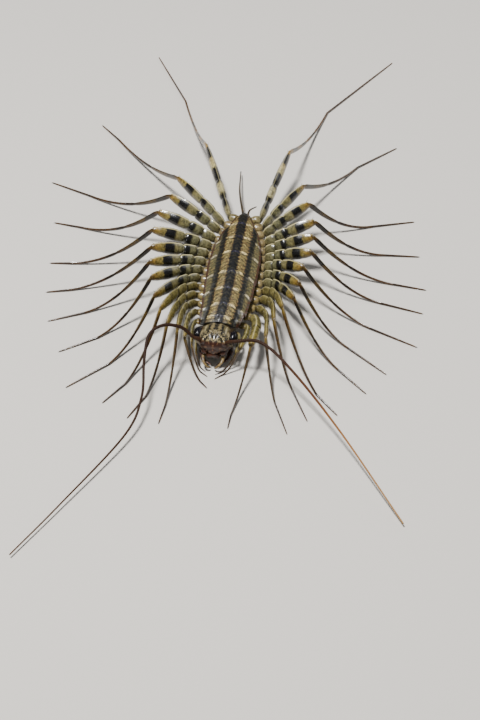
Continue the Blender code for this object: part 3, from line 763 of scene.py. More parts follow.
@dataclass(frozen=True)
class FeelerShell:
    """Thin chitin rings of a feeler, dark at the head and paler outwards, dull with fine down.

    The real rings are about 0.15 mm long; they are drawn over three times that, to show.
    """

    name: str
    tones: tuple[tuple[float, str], ...]
    ring: float = 0.5

    def build(self) -> bpy.types.Material:
        """Build the ringed feeler material.

        Returns:
            The material.
        """
        work = Cuticle(self.name)
        reach = work.add(Kind.ATTRIBUTE, output="Fac", attribute_name="reach")
        share = work.add(Kind.ATTRIBUTE, output="Fac", attribute_name="share")
        tone = work.add(Kind.RAMP, {"Fac": share}, self.tones)
        turn = work.add(Kind.MATH, {0: reach, 1: math.tau / self.ring}, **TIMES)
        wave = work.add(Kind.MATH, {0: turn}, operation="SINE")
        ringed = work.add(Kind.MATH, {0: wave, 1: 0.5, 2: 0.5}, **SCALED)
        shade = work.add(Kind.MATH, {0: ringed, 1: 0.45, 2: 0.65}, **SCALED)
        tone = work.add(Kind.MIX, {0: 1.0, 6: tone, 7: shade}, **DARKENED)
        fine = work.add(Kind.NOISE, {"Vector": work.ruler, "Scale": 5.0, "Detail": 3.0})
        gloss = work.add(Kind.MATH, {0: fine, 1: 0.25, 2: 0.45}, **SCALED)
        return work.close(tone, gloss, ((ringed, 0.03),), shine=0.15)


class Finish(Enum):
    """Every finish of the animal, by the part that it covers."""

    BACK = BackShell()
    SKIN = PlainShell("soft_joint_skin", "#5c4c2c", "#2a1d10", 0.7, 0.08, 0.4)
    BELLY = PlainShell("chitin_belly_plate", "#8a784a", "#64522f", 1.1, 0.05, 0.3)
    HEAD = HeadShell()
    EYE = EyeLens()
    JAW = PlainShell("chitin_jaw", "#4d2713", "#1d0d06", 0.8, 0.05, 0.22)
    PALP = PlainShell("chitin_palp", "#8d7748", "#4b341c", 0.6, 0.03, 0.28)
    TAIL = PlainShell("chitin_tail", "#4a3a22", "#100c08", 0.6, 0.04, 0.28)
    FRONT_LEG = LegShell(
        "chitin_leg_front",
        (
            (-0.2, "#95814f"), (-0.02, "#8a7848"), (0.1, "#746a3d"), (0.35, "#7a7143"), (0.6, "#7e743f"),
            (0.88, "#85763a"), (0.99, "#937a35"), (1.08, "#4c3515"), (1.6, "#3a240e"), (2.2, "#2f1b0a"),
            (3.0, "#4a2d12"),
        ),
        (
            (0.0, 0.03, 0.8), (0.21, 0.24, 0.75), (0.45, 0.475, 0.75), (0.66, 0.72, 0.35),
            (0.985, 1.01, 0.5), (1.42, 1.46, 0.5),
        ),
        # The painted highlight along the top is weaker on these legs.
        crest=0.4,
    )
    MIDDLE_LEG = LegShell(
        "chitin_leg_middle",
        (
            (-0.2, "#98845a"), (-0.04, "#8b7951"), (0.05, "#6d6644"), (0.3, "#6f6c4c"), (0.5, "#77714c"),
            (0.64, "#7b7146"), (0.84, "#83743c"), (0.95, "#84692c"), (1.03, "#38230f"), (1.2, "#4d3a16"),
            (1.45, "#38210c"), (1.9, "#4a3013"), (2.2, "#35200b"), (3.0, "#533512"),
        ),
        (
            (-0.01, 0.03, 0.85), (0.21, 0.24, 0.8), (0.365, 0.47, 1.0), (0.63, 0.8, 1.0),
            (1.04, 1.16, 0.85), (1.42, 1.56, 0.6), (2.0, 2.1, 0.5),
        ),
    )
    LAST_LEG = LegShell(
        "chitin_leg_last",
        (
            (-0.2, "#8c7d50"), (0.1, "#8b825b"), (0.36, "#b5a976"), (0.66, "#bfb077"), (0.92, "#a5843c"),
            (1.05, "#8f6c34"), (1.5, "#6b4a26"), (2.2, "#3c2411"), (3.0, "#5f3c1b"),
        ),
        (
            (-0.01, 0.02, 0.8), (0.11, 0.28, 1.0), (0.41, 0.62, 1.0), (0.76, 0.93, 1.0),
            (1.06, 1.18, 1.0), (1.29, 1.4, 0.95), (1.54, 1.64, 0.9),
        ),
        # The painted highlight along the top is weaker on these legs.
        crest=0.25,
    )
    # Painted highlight: the left feeler's outer half is pale cream-orange where light catches it; its own
    # chitin is as dark as the right feeler's.
    FEELER_LEFT_HIGHLIT = FeelerShell(
        "chitin_feeler_left_painted_highlight",
        (
            (0.0, "#3c2414"), (0.08, "#291609"), (0.24, "#361d0e"), (0.42, "#5e3618"), (0.62, "#936434"),
            (1.0, "#a37c4a"),
        ),
    )
    FEELER_RIGHT = FeelerShell(
        "chitin_feeler_right",
        ((0.0, "#3c2414"), (0.08, "#291609"), (0.3, "#2d190c"), (0.6, "#3a2413"), (1.0, "#4d331c")),
    )


@dataclass(frozen=True)
class Bench:
    """Where a finished bmesh becomes a piece of the scene.

    Its place carries millimetres to metres, and edges that turn by fewer degrees than its
    smooth angle are shaded round.
    """

    place: Matrix
    dressed: dict[Finish, bpy.types.Material]
    smooth_angle: float = 50.0

    def set_down(
        self, name: str, bm: bmesh.types.BMesh, finish: Finish, slot: Slot, nodes: tuple[str, ...] = ()
    ) -> bpy.types.Object:
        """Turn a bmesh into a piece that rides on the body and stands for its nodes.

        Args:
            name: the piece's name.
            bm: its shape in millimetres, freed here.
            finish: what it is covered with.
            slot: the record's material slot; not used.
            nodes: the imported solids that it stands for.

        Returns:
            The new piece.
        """
        settle(bm)
        mesh = bpy.data.meshes.new(name)
        bm.to_mesh(mesh)
        bm.free()
        mesh.transform(self.place)
        mesh.shade_smooth()
        mesh.set_sharp_from_angle(angle=math.radians(self.smooth_angle))
        mesh.materials.append(self.dressed[finish])
        piece = bpy.data.objects.new(name, mesh)
        bpy.context.scene.collection.objects.link(piece)
        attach(piece, BODY)
        if nodes:
            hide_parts(*nodes)
        LOG.info("%s: %d faces, %s", name, len(mesh.polygons), finish.name.lower())
        return piece


def turn_outwards(bm: bmesh.types.BMesh, faces: list[bmesh.types.BMFace]) -> None:
    """Point the faces of one closed shell outwards.

    Args:
        bm: the bmesh that holds them.
        faces: all the faces of the shell.
    """
    bmesh.ops.recalc_face_normals(bm, faces=faces)
    middle = faces[0].verts[0].co.copy()
    volume = 0.0
    for face in faces:
        corners = [vert.co - middle for vert in face.verts]
        for second, third in zip(corners[1:], corners[2:]):
            volume += corners[0].dot(second.cross(third))
    if volume < 0.0:
        bmesh.ops.reverse_faces(bm, faces=faces)


@dataclass(frozen=True)
class Ring:
    """One ring of a limb: its middle, its half sizes and its place along the limb."""

    centre: Vector
    thick: float
    depth: float
    reach: float

    def matrix(self, along: Vector) -> Matrix:
        """Place the unit circle as this ring.

        Args:
            along: direction of the limb here.

        Returns:
            The matrix that carries the unit circle to its place, its top to the ring's top.
        """
        forward = along.normalized()
        across = forward.cross(UP).normalized()
        top = across.cross(forward)
        return Matrix((
            (across.x * self.thick, top.x * self.depth, forward.x, self.centre.x),
            (across.y * self.thick, top.y * self.depth, forward.y, self.centre.y),
            (across.z * self.thick, top.z * self.depth, forward.z, self.centre.z),
            (0.0, 0.0, 0.0, 1.0),
        ))


def add_limb(
    bm: bmesh.types.BMesh, rings: list[Ring], sides: int, keel: float = 0.0, crest: float = 0.0
) -> None:
    """Add a closed limb through a run of rings to a bmesh.

    Args:
        bm: the bmesh that takes it; its layers "reach" and "level" are filled, and a level
            goes from 0 at the underside to 1 on the narrow line along the top.
        rings: the rings from root to tip.
        sides: number of sides.
        keel: how far the ridges above, below and at both sides stand out, as a share.
        crest: how far the narrow line along the top stands out, as a share.
    """
    floats = bm.verts.layers.float
    for word in LIMB_LAYERS:
        if word not in floats:
            floats.new(word)
    reach, level = (floats[word] for word in LIMB_LAYERS)
    places = []
    for index, ring in enumerate(rings):
        before = rings[max(0, index - 1)].centre
        after = rings[min(len(rings) - 1, index + 1)].centre
        places.append(ring.matrix(after - before))
    known = set(bm.faces)
    verts = bmesh.ops.create_circle(bm, cap_ends=True, radius=1.0, segments=sides)["verts"]
    for vert in verts:
        swell = keel * math.cos(4.0 * math.atan2(vert.co.y, vert.co.x))
        vert.co *= 1.0 + swell + (crest if vert.co.y > CREST_FROM else 0.0)
    loop = list(dict.fromkeys(edge for vert in verts for edge in vert.link_edges))
    last = Matrix()
    for ring, place in zip(rings, places):
        if ring is not rings[0]:
            grown = bmesh.ops.extrude_edge_only(bm, edges=loop)["geom"]
            verts, loop = pick(grown, bmesh.types.BMVert), pick(grown, bmesh.types.BMEdge)
        bmesh.ops.transform(bm, matrix=place @ last.inverted(), verts=verts)
        back = place.inverted()
        for vert in verts:
            vert[reach] = ring.reach
            vert[level] = 0.5 + 0.5 * min(1.0 if crest else PLAIN_TOP, (back @ vert.co).y)
        last = place
    bmesh.ops.contextual_create(bm, geom=loop)
    turn_outwards(bm, [face for face in bm.faces if face not in known])


def add_spine(bm: bmesh.types.BMesh, root: Vector, along: Vector, length: float, girth: float) -> None:
    """Add one small tapered spine to a bmesh.

    Args:
        bm: the bmesh that takes it.
        root: where it stands; it is sunk a little below that.
        along: the direction in which it points.
        length: its free length.
        girth: its thickness at the root.
    """
    forward = along.normalized()
    turn = forward.to_track_quat("Z", "Y").to_matrix().to_4x4()
    middle = root + forward * SPINE_MIDDLE * length
    bmesh.ops.create_cone(
        bm, cap_ends=True, segments=SPINE_SIDES, radius1=0.5 * girth, radius2=SPINE_TIP * girth,
        depth=SPINE_WHOLE * length, matrix=Matrix.Translation(middle) @ turn,
    )


@dataclass
class BackPlates:
    """The seven long back plates and the short collar before them.

    The place of a swell is its distance from the middle line, or, for the lip, the front
    slope and the second of a pair, from the rear margin or the front edge. A dent row holds
    a depth, waves per millimetre and the layer of the noise.
    """

    bench: Bench
    columns: int = 96
    rows: int = 30
    thickness: float = 0.3
    margin_thickness: Swell = Swell(0.15, 0.0, 0.4)
    keel: Swell = Swell(0.2, 0.0, 0.95)
    pale_bands: tuple[Swell, Swell] = (Swell(1.0, 2.0, 0.8), Swell(1.0, 4.9, 0.8))
    lip: Swell = Swell(0.17, 0.25, 0.5)
    lip_between: float = 0.3
    lip_on_bands: float = 0.7
    rim: float = 0.2
    rim_start: float = 0.86
    rim_reach: float = 0.14
    rim_power: float = 1.5
    furrow: Swell = Swell(-0.14, 3.45, 0.5)
    front_slope: Swell = Swell(-0.2, 0.0, 0.8)
    notch: tuple[Swell, Swell] = (Swell(-0.2, 0.0, 0.2), Swell(1.0, 0.55, 0.4))
    boss: tuple[Swell, Swell] = (Swell(0.1, 1.9, 0.7), Swell(1.0, 2.4, 1.4))
    dents: tuple[Triple, ...] = ((0.06, 0.8, 3.1), (0.03, 2.6, 7.7))
    corner: float = 0.45
    corner_start: float = 0.8
    corner_reach: float = 0.2
    sharp_edge: float = 60.0
    edge_round: float = 0.07
    spine_pitch: float = 0.42
    spine_length: float = 0.28
    spine_girth: float = 0.11
    spine_splay: float = 0.35
    spine_droop: float = 0.12
    spine_rise: float = 0.02
    fringe_reach: float = 0.94
    inset: float = 0.1
    collar: tuple[float, float] = (-0.1, 1.5)
    collar_lift: float = 0.35
    first_front: float = 0.9

    def relief(self, x: float, across: float, margin: float, ahead: float) -> float:
        """Give the small relief of a plate.

        Args:
            x: distance from the middle line.
            across: share of the half width.
            margin: distance from the rear margin.
            ahead: distance from the front edge.

        Returns:
            The extra height in millimetres.
        """
        pale = sum(band.at(abs(x)) for band in self.pale_bands)
        lip = self.lip.at(margin) * (self.lip_between + self.lip_on_bands * pale)
        rim = self.rim * max(0.0, (across - self.rim_start) / self.rim_reach) ** self.rim_power
        notch = self.notch[0].at(x) * self.notch[1].at(margin)
        boss = self.boss[0].at(abs(x)) * self.boss[1].at(margin)
        slope = self.front_slope.at(ahead)
        return self.keel.at(x) + lip + rim + self.furrow.at(abs(x)) + slope + notch + boss

    def build_one(
        self, name: str, front: float, rear: float, lift: tuple[float, float], nodes: tuple[str, ...] = ()
    ) -> None:
        """Build one plate with a thick rear margin fringed by small spines.

        Args:
            name: the piece's name.
            front: station of its front edge.
            rear: station of its rear margin.
            lift: how far it stands up at its front and at its rear.
            nodes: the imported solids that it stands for.
        """
        bm = bmesh.new()
        for word in PLATE_LAYERS:
            bm.verts.layers.float.new(word)
        layers = [bm.verts.layers.float[word] for word in PLATE_LAYERS]
        bmesh.ops.create_grid(bm, x_segments=self.columns, y_segments=self.rows, size=1.0)
        lower = bmesh.ops.extrude_face_region(bm, geom=list(bm.faces))["geom"]
        below = set(pick(lower, bmesh.types.BMVert))
        length = rear - front
        for vert in bm.verts:
            share = (vert.co.y + 1.0) / 2.0
            across = math.sin(0.5 * math.pi * vert.co.x)
            corner = self.corner * max(0.0, (abs(across) - self.corner_start) / self.corner_reach) ** 2
            y = front + corner + share * (length - 2.0 * corner)
            x = across * PLAN.plate_half_width(y)
            margin, ahead = (1.0 - share) * length, share * length
            height = PLAN.back_height(x, y, lift[0] + (lift[1] - lift[0]) * share)
            for depth, scale, seed in self.dents:
                height += depth * noise.noise(Vector((scale * x, scale * y, seed)))
            height += self.relief(x, abs(across), margin, ahead)
            if vert in below:
                height -= self.thickness + self.margin_thickness.at(margin)
            for layer, value in zip(layers, (abs(x), margin, share, PLAN.plate_half_width(y) - abs(x))):
                vert[layer] = value
            vert.co = PLAN.lay(x, y, height)
        turn_outwards(bm, list(bm.faces))
        settle(bm)
        sharp = math.radians(self.sharp_edge)
        rims = [edge for edge in bm.edges if edge.calc_face_angle(0.0) > sharp]
        bmesh.ops.bevel(
            bm, geom=rims, offset=self.edge_round, offset_type="OFFSET", segments=2, profile=0.5,
            material=-1, affect="EDGES",
        )
        bmesh.ops.triangulate(bm, faces=list(bm.faces), quad_method="SHORT_EDGE")
        self.fringe(bm, rear, lift[1])
        self.bench.set_down(name, bm, Finish.BACK, Slot.BACK, nodes)

    def fringe(self, bm: bmesh.types.BMesh, rear: float, lift: float) -> None:
        """Set a row of small spines along a plate's rear margin.

        Their layers stay at nought, which the finish colours dark.

        Args:
            bm: the plate.
            rear: station of its rear margin.
            lift: how far the plate stands up there.
        """
        half = PLAN.plate_half_width(rear)
        count = round(half / self.spine_pitch)
        for index in range(-count, count + 1):
            x = self.fringe_reach * half * index / count
            along = Vector((self.spine_splay * index / count, 1.0, -self.spine_droop))
            height = PLAN.back_height(x, rear, lift) + self.spine_rise
            add_spine(bm, PLAN.lay(x, rear - self.inset, height), along, self.spine_length, self.spine_girth)

    def build(self) -> None:
        """Build every plate from the collar to the last."""
        rise = 0.5 * PLAN.plate_lift
        start, end = (PLAN.trunk_front + place for place in self.collar)
        self.build_one("collar_plate", start, end, (-self.collar_lift, self.collar_lift))
        fronts = (PLAN.trunk_front + self.first_front, *PLAN.plate_rear[:-1])
        for index, (front, rear) in enumerate(zip(fronts, PLAN.plate_rear), start=1):
            name, end = f"back_plate_{index}", rear + PLAN.plate_overhang
            self.build_one(name, front + self.inset, end, (-rise, rise), (f"trunk_{index}",))


@dataclass
class SoftTrunk:
    """The soft sides between back and belly, with the belly plates under them.

    The three powers shape the skin's section at the sides, towards the back and towards the
    belly: the smaller they are, the fuller it is.
    """

    bench: Bench
    sides: int = 40
    step: float = 0.3
    front_lap: float = 0.2
    rear_lap: float = 0.3
    under_plates: float = 1.0
    fit: float = 0.97
    fold: float = 0.05
    side_power: float = 0.7
    back_power: float = 0.5
    belly_power: float = 0.6
    pucker: float = 0.12
    pucker_scale: float = 1.4
    pucker_aside: float = 0.3
    pucker_up: float = 0.5
    narrowest: float = 0.5
    belly_grid: tuple[int, int] = (18, 10)
    belly_half_width: float = 2.7
    belly_half_length: float = 1.38
    belly_waist: float = 0.12
    belly_swell: float = 0.16
    belly_fall: float = 0.6
    belly_proud: float = 0.1
    belly_curl: float = 0.75
    belly_thickness: float = 0.3

    def skin_point(self, angle: float, y: float) -> Vector:
        """Give a point of the skin.

        Args:
            angle: angle round the body from its left side, in radians.
            y: station along the body.

        Returns:
            The place in millimetres.
        """
        wave = math.cos(math.tau * (y - PLAN.last_leg) / PLAN.leg_spacing)
        half = PLAN.core_half_width(y) * (self.fit + self.fold * (wave - 1.0))
        flat, rise = math.cos(angle), math.sin(angle)
        x = math.copysign(abs(flat) ** self.side_power, flat) * half
        if rise > 0.0:
            top = PLAN.back_height(x, y, -self.under_plates)
            z = PLAN.socket_height + (top - PLAN.socket_height) * rise ** self.back_power
        else:
            drop = PLAN.socket_height - PLAN.belly_height(y)
            z = PLAN.socket_height - drop * abs(rise) ** self.belly_power
        scale = self.pucker_scale
        pucker = self.pucker * noise.noise(Vector((scale * x, scale * y, scale * z)))
        x *= 1.0 + self.pucker_aside * pucker / max(self.narrowest, half)
        return PLAN.lay(x, y, z + self.pucker_up * pucker)

    def build_skin(self) -> None:
        """Build one skin from the neck to the tail."""
        bm = bmesh.new()
        start, end = PLAN.trunk_front - self.front_lap, PLAN.core_end + self.rear_lap
        count = round((end - start) / self.step)
        stride = (0.0, 0.0, (end - start) / count)
        bmesh.ops.create_circle(bm, cap_ends=True, radius=1.0, segments=self.sides)
        loop = list(bm.edges)
        for _ in range(count):
            grown = bmesh.ops.extrude_edge_only(bm, edges=loop)["geom"]
            loop = pick(grown, bmesh.types.BMEdge)
            bmesh.ops.translate(bm, verts=pick(grown, bmesh.types.BMVert), vec=stride)
        bmesh.ops.contextual_create(bm, geom=loop)
        caps = [face for face in bm.faces if len(face.verts) == self.sides]
        middles = bmesh.ops.poke(bm, faces=caps)["verts"]
        for vert in bm.verts:
            if vert in middles:
                vert.co = PLAN.lay(0.0, start + vert.co.z, PLAN.socket_height)
            else:
                vert.co = self.skin_point(math.atan2(vert.co.y, vert.co.x), start + vert.co.z)
        turn_outwards(bm, list(bm.faces))
        nodes = tuple(f"trunk_{index}" for index in range(1, len(PLAN.plate_rear) + 1))
        self.bench.set_down("soft_trunk", bm, Finish.SKIN, Slot.BACK, nodes)

    def build_belly(self) -> None:
        """Build the belly plate of each pair of legs."""
        columns, rows = self.belly_grid
        for number in range(1, PLAN.leg_count + 1):
            middle = PLAN.leg_root(number)
            half = self.belly_half_width * PLAN.core_half_width(middle) / PLAN.core_width
            bm = bmesh.new()
            bmesh.ops.create_grid(bm, x_segments=columns, y_segments=rows, size=1.0)
            lower = bmesh.ops.extrude_face_region(bm, geom=list(bm.faces))["geom"]
            inner = set(pick(lower, bmesh.types.BMVert))
            for vert in bm.verts:
                across, along = vert.co.x, vert.co.y
                y = middle + self.belly_half_length * along * (1.0 - self.belly_waist * across ** 2)
                swell = self.belly_swell * (1.0 - across ** 2) * (1.0 - self.belly_fall * along ** 2)
                z = PLAN.belly_height(y) - (swell + self.belly_proud) + self.belly_curl * abs(across) ** 3
                z += self.belly_thickness if vert in inner else 0.0
                vert.co = Vector((across * half + PLAN.spine_x(y), y, z))
            turn_outwards(bm, list(bm.faces))
            self.bench.set_down(f"belly_plate_{number:02d}", bm, Finish.BELLY, Slot.BACK)

    def build(self) -> None:
        """Build the skin and the belly plates."""
        self.build_skin()
        self.build_belly()


@dataclass(frozen=True)
class Stance:
    """How one leg stands: directions in degrees back from straight out, reaches in mm.

    The swell is what the thigh's breadth is multiplied by on this side.
    """

    thigh_turn: float
    thigh_reach: float
    shin_turn: float
    shin_reach: float
    toe_turn: float
    toe_reach: float
    swell: float = 1.0


@dataclass(frozen=True)
class LegPair:
    """A pair of legs: knee height, girth, thigh's breadth, hip's reach, outward bow, stances."""

    knee_height: float
    girth: float
    breadth: float
    coxa: float
    bow: float
    right: Stance
    left: Stance


LEG_PAIRS = {
    1: LegPair(
        3.7, 0.5, 1.0, 0.6, 0.25,
        Stance(-95, 7.15, -139, 2.1, -139, 1.2), Stance(-90, 6.3, -140, 4.5, -150, 0.9),
    ),
    2: LegPair(
        6.0, 0.6, 0.9, 1.25, 0.6,
        Stance(-91, 10.05, -134, 3.6, -143, 2.0), Stance(-92, 9.9, -143, 5.0, -135, 1.7, 1.75),
    ),
    3: LegPair(
        7.5, 0.8, 1.1, 1.4, 1.3,
        Stance(-84, 12.7, -126, 7.6, -133, 2.5), Stance(-83, 13.2, -99, 15.9, -92, 4.2, 1.75),
    ),
    4: LegPair(
        9.5, 0.9, 1.0, 1.75, 1.75,
        Stance(-80, 15.2, -88, 15.9, -84, 5.7), Stance(-74, 15.4, -73, 12.2, -68, 10.4),
    ),
    5: LegPair(
        10.0, 0.98, 0.98, 2.05, 1.8,
        Stance(-74, 17.4, -79, 14.6, -68, 8.1), Stance(-68, 13.3, -65, 14.1, -65, 10.2),
    ),
    6: LegPair(
        10.4, 1.0, 1.0, 2.2, 1.45,
        Stance(-66, 16.6, -69, 16.5, -59, 7.9), Stance(-61, 12.9, -60, 20.0, -49, 7.9),
    ),
    7: LegPair(
        10.2, 1.0, 1.2, 2.2, 1.1,
        Stance(-57, 16.3, -58, 16.3, -47, 12.1), Stance(-51, 13.5, -46, 16.9, -45, 9.8),
    ),
    8: LegPair(
        10.2, 1.0, 1.45, 2.1, 0.6,
        Stance(-44, 14.9, -46, 15.9, -36, 9.8), Stance(-41, 12.3, -38, 15.9, -39, 12.1),
    ),
    9: LegPair(
        10.2, 1.0, 1.65, 2.0, 0.4,
        Stance(-33, 14.5, -31, 16.7, -26, 8.8), Stance(-28, 11.0, -26, 18.6, -24, 12.3),
    ),
    10: LegPair(
        10.5, 1.0, 1.75, 2.0, 0.2,
        Stance(-24, 13.9, -18, 20.5, -14, 4.9), Stance(-14, 11.6, -14, 17.6, -13, 10.2),
    ),
    11: LegPair(
        10.8, 1.0, 1.75, 2.0, 0.0,
        Stance(-11, 14.0, -7, 20.0, -5, 4.8), Stance(-2, 11.4, -7, 19.7, -7, 7.8),
    ),
    12: LegPair(
        10.5, 1.0, 1.75, 2.0, 0.0,
        Stance(6, 14.1, 12, 19.9, 9, 7.3), Stance(13, 11.8, 7, 17.2, 4, 8.1),
    ),
    13: LegPair(
        10.5, 1.0, 1.5, 2.0, 0.0,
        Stance(21, 13.7, 25, 23.9, 22, 11.3), Stance(31, 11.8, 22, 16.3, 18, 10.3),
    ),
    14: LegPair(
        8.5, 1.0, 1.1, 1.9, 0.0,
        Stance(42, 17.7, 52, 30.5, 47, 7.9), Stance(56, 15.2, 60, 22.9, 46, 13.0),
    ),
    15: LegPair(
        9.5, 1.0, 1.0, 1.6, 0.0,
        Stance(68, 23.5, 72, 31.6, 62, 21.1), Stance(78, 22.1, 78, 30.6, 59, 28.5),
    ),
}


class Stage(Enum):
    """The stretches of a leg, with the place along it where each begins."""

    COXA = -0.2
    THIGH = 0.0
    SHIN = 1.0
    TOE = 2.0


@dataclass(frozen=True)
class Podomere:
    """One stiff length of a leg: its stretch, where it lies there, and its girths.

    A girth row holds a place from 0 to 1, the half thickness and the half depth.
    """

    stage: Stage
    start: float
    end: float
    steps: int
    girths: tuple[Triple, ...]


PODOMERES = (
    Podomere(Stage.COXA, 0.0, 1.06, 8, (
        (0.0, 0.78, 0.86), (0.35, 1.0, 1.1), (0.75, 0.94, 1.08), (1.0, 0.62, 0.78),
    )),
    Podomere(Stage.THIGH, 0.0, 0.225, 8, (
        (0.0, 0.5, 0.9), (0.4, 0.76, 1.45), (0.8, 0.74, 1.42), (1.0, 0.56, 1.1),
    )),
    Podomere(Stage.THIGH, 0.215, 0.468, 10, (
        (0.0, 0.5, 1.05), (0.25, 0.76, 1.6), (0.75, 0.74, 1.56), (0.95, 0.66, 1.42), (1.0, 0.5, 1.1),
    )),
    Podomere(Stage.THIGH, 0.455, 1.0, 18, (
        (0.0, 0.46, 1.02), (0.1, 0.66, 1.44), (0.4, 0.7, 1.54), (0.72, 0.6, 1.3),
        (0.93, 0.47, 0.94), (1.0, 0.34, 0.62),
    )),
    Podomere(Stage.SHIN, 0.0, 0.44, 12, (
        (0.0, 0.32, 0.42), (0.08, 0.42, 0.62), (0.4, 0.39, 0.56), (0.85, 0.34, 0.46), (1.0, 0.27, 0.34),
    )),
    Podomere(Stage.SHIN, 0.43, 1.0, 14, (
        (0.0, 0.24, 0.3), (0.08, 0.32, 0.4), (0.5, 0.29, 0.35), (1.0, 0.27, 0.3),
    )),
    Podomere(Stage.TOE, 0.0, 1.0, 18, (
        (0.0, 0.27, 0.29), (0.5, 0.24, 0.25), (0.9, 0.19, 0.19), (1.0, 0.13, 0.13),
    )),
)


@dataclass(frozen=True)
class SpineRow:
    """A row of spines along a stretch: its first place, its pitch, how many, and their length."""

    stage: Stage
    first: float
    pitch: float
    count: int
    length: float


SPINE_ROWS = (
    SpineRow(Stage.THIGH, 0.225, 0.0, 1, 0.5),
    SpineRow(Stage.THIGH, 0.46, 0.0, 1, 0.55),
    SpineRow(Stage.THIGH, 0.97, 0.0, 1, 0.6),
    SpineRow(Stage.THIGH, 0.5, 0.055, 8, 0.2),
    SpineRow(Stage.SHIN, 0.06, 0.07, 11, 0.24),
)


@dataclass
class Leg:
    """One leg from its coxa to its claw.

    The fan's legs swell in the middle of their thighs until neighbours all but touch, and
    the legs behind them swell more. A spine's girth is one share of the leg's girth and one
    of its own length, and the place and level given to every spine colour it dark.
    """

    bench: Bench
    number: int
    side: Side
    sides: int = 16
    foot_sides: int = 10
    keel: float = 0.03
    crest: float = 0.08
    sunk: float = 0.6
    coxa_fill: float = 0.41
    fan_first: int = 7
    fan_last: int = 13
    fan_start: float = 0.3
    fan_end: float = 0.97
    fan_fill: float = 0.18
    rear_start: float = 0.02
    rear_fill: float = 0.3
    thigh_rise: float = 0.5
    bow_ease: float = 0.6
    shin_crook: float = 0.5
    toe_height: float = 0.3
    tip_height: float = 0.18
    pinch: float = 0.84
    pinch_ahead: float = 0.06
    spine_aim: float = 0.02
    spine_lean: float = 0.6
    spine_flare: float = 0.7
    spine_vary: tuple[float, float] = (0.8, 1.2)
    spine_girth: tuple[float, float] = (0.07, 0.08)
    spine_reach: float = 1.1
    spine_level: float = 0.5
    claw_length: float = 0.35
    claw_girth: float = 0.2

    def __post_init__(self) -> None:
        """Work out the hip, the knee, and where the foot meets the floor."""
        self.pair = LEG_PAIRS[self.number]
        self.stance = self.pair.left if self.side is Side.LEFT else self.pair.right
        girth = self.pair.girth
        self.root, self.outward = PLAN.socket(self.number, self.side)
        self.hip = self.root + self.outward * self.pair.coxa
        self.knee = self.hip + heading(self.stance.thigh_turn, self.side) * self.stance.thigh_reach
        self.knee.z = self.pair.knee_height
        self.touch = self.knee + heading(self.stance.shin_turn, self.side) * self.stance.shin_reach
        self.touch.z = self.toe_height * girth
        self.crook = self.touch.lerp(self.knee, 1.0 - self.shin_crook)
        self.crook.z = self.touch.z
        self.ahead = heading(self.stance.toe_turn, self.side)
        self.tip = self.touch + self.ahead * self.stance.toe_reach
        self.tip.z = self.tip_height * girth

    def middle(self, stage: Stage, share: float) -> Vector:
        """Give a point of the leg's middle line.

        Args:
            stage: the stretch of the leg.
            share: place along that stretch, 0 to 1.

        Returns:
            The place in millimetres.
        """
        if stage is Stage.COXA:
            inner = self.root - self.outward * self.sunk
            return inner.lerp(self.hip, share)
        if stage is Stage.THIGH:
            aside = heading(self.stance.thigh_turn + 90.0, self.side)
            rise = UP * self.thigh_rise * self.pair.girth * math.sin(math.pi * share)
            bulge = aside * self.pair.bow * math.sin(math.pi * min(1.0, share) ** self.bow_ease)
            return self.hip.lerp(self.knee, share) + rise + bulge
        if stage is Stage.SHIN:
            return self.knee.lerp(self.crook, share).lerp(self.crook.lerp(self.touch, share), share)
        return self.touch.lerp(self.tip, share)

    def widths(self, stage: Stage) -> tuple[float, float]:
        """Give what a stretch's girths are multiplied by.

        Args:
            stage: the stretch of the leg.

        Returns:
            The factors of the half thickness and the half depth.
        """
        girth = self.pair.girth
        if stage is Stage.COXA:
            spacing = PLAN.leg_spacing * abs(self.outward.x)
            return self.coxa_fill * spacing * (1.0 + girth) / 2.0, girth
        if stage is Stage.THIGH:
            return girth * self.pair.breadth * self.stance.swell, girth
        return girth, girth

    def fill(self, stage: Stage, place: float) -> float:
        """Give what swells a thigh, from the fan's first leg to the last.

        Args:
            stage: the stretch of the leg.
            place: place along that stretch, 0 to 1.

        Returns:
            What the half thickness is multiplied by there.
        """
        if stage is not Stage.THIGH or self.number < self.fan_first:
            return 1.0
        is_fan = self.number <= self.fan_last
        start, gain = (self.fan_start, self.fan_fill) if is_fan else (self.rear_start, self.rear_fill)
        share = min(1.0, max(0.0, (place - start) / (self.fan_end - start)))
        return 1.0 + gain * math.sin(math.pi * share)

    def rings(self, part: Podomere) -> list[Ring]:
        """Work out the rings of one stiff length from its girth rows.

        Args:
            part: the length to build.

        Returns:
            Its rings from root to tip.
        """
        rings = []
        broad, deep = self.widths(part.stage)
        for step in range(part.steps + 1):
            share = step / part.steps
            place = part.start + (part.end - part.start) * share
            thick, depth = blend_rows(part.girths, share)
            thick *= broad * self.fill(part.stage, place)
            length = -Stage.COXA.value if part.stage is Stage.COXA else 1.0
            reach = part.stage.value + place * length
            rings.append(Ring(self.middle(part.stage, place), thick, depth * deep, reach))
        return rings

    def foot_rings(self, part: Podomere) -> list[Ring]:
        """Work out the rings of the foot, pinched between its many short joints.

        Args:
            part: the foot's own length.

        Returns:
            Its rings, each followed by a thinner one just ahead of it but for the last.
        """
        rings = []
        shift = self.ahead * self.pinch_ahead
        for ring in self.rings(part):
            rings.append(ring)
            thick, depth = self.pinch * ring.thick, self.pinch * ring.depth
            rings.append(Ring(ring.centre + shift, thick, depth, ring.reach))
        return rings[:-1]

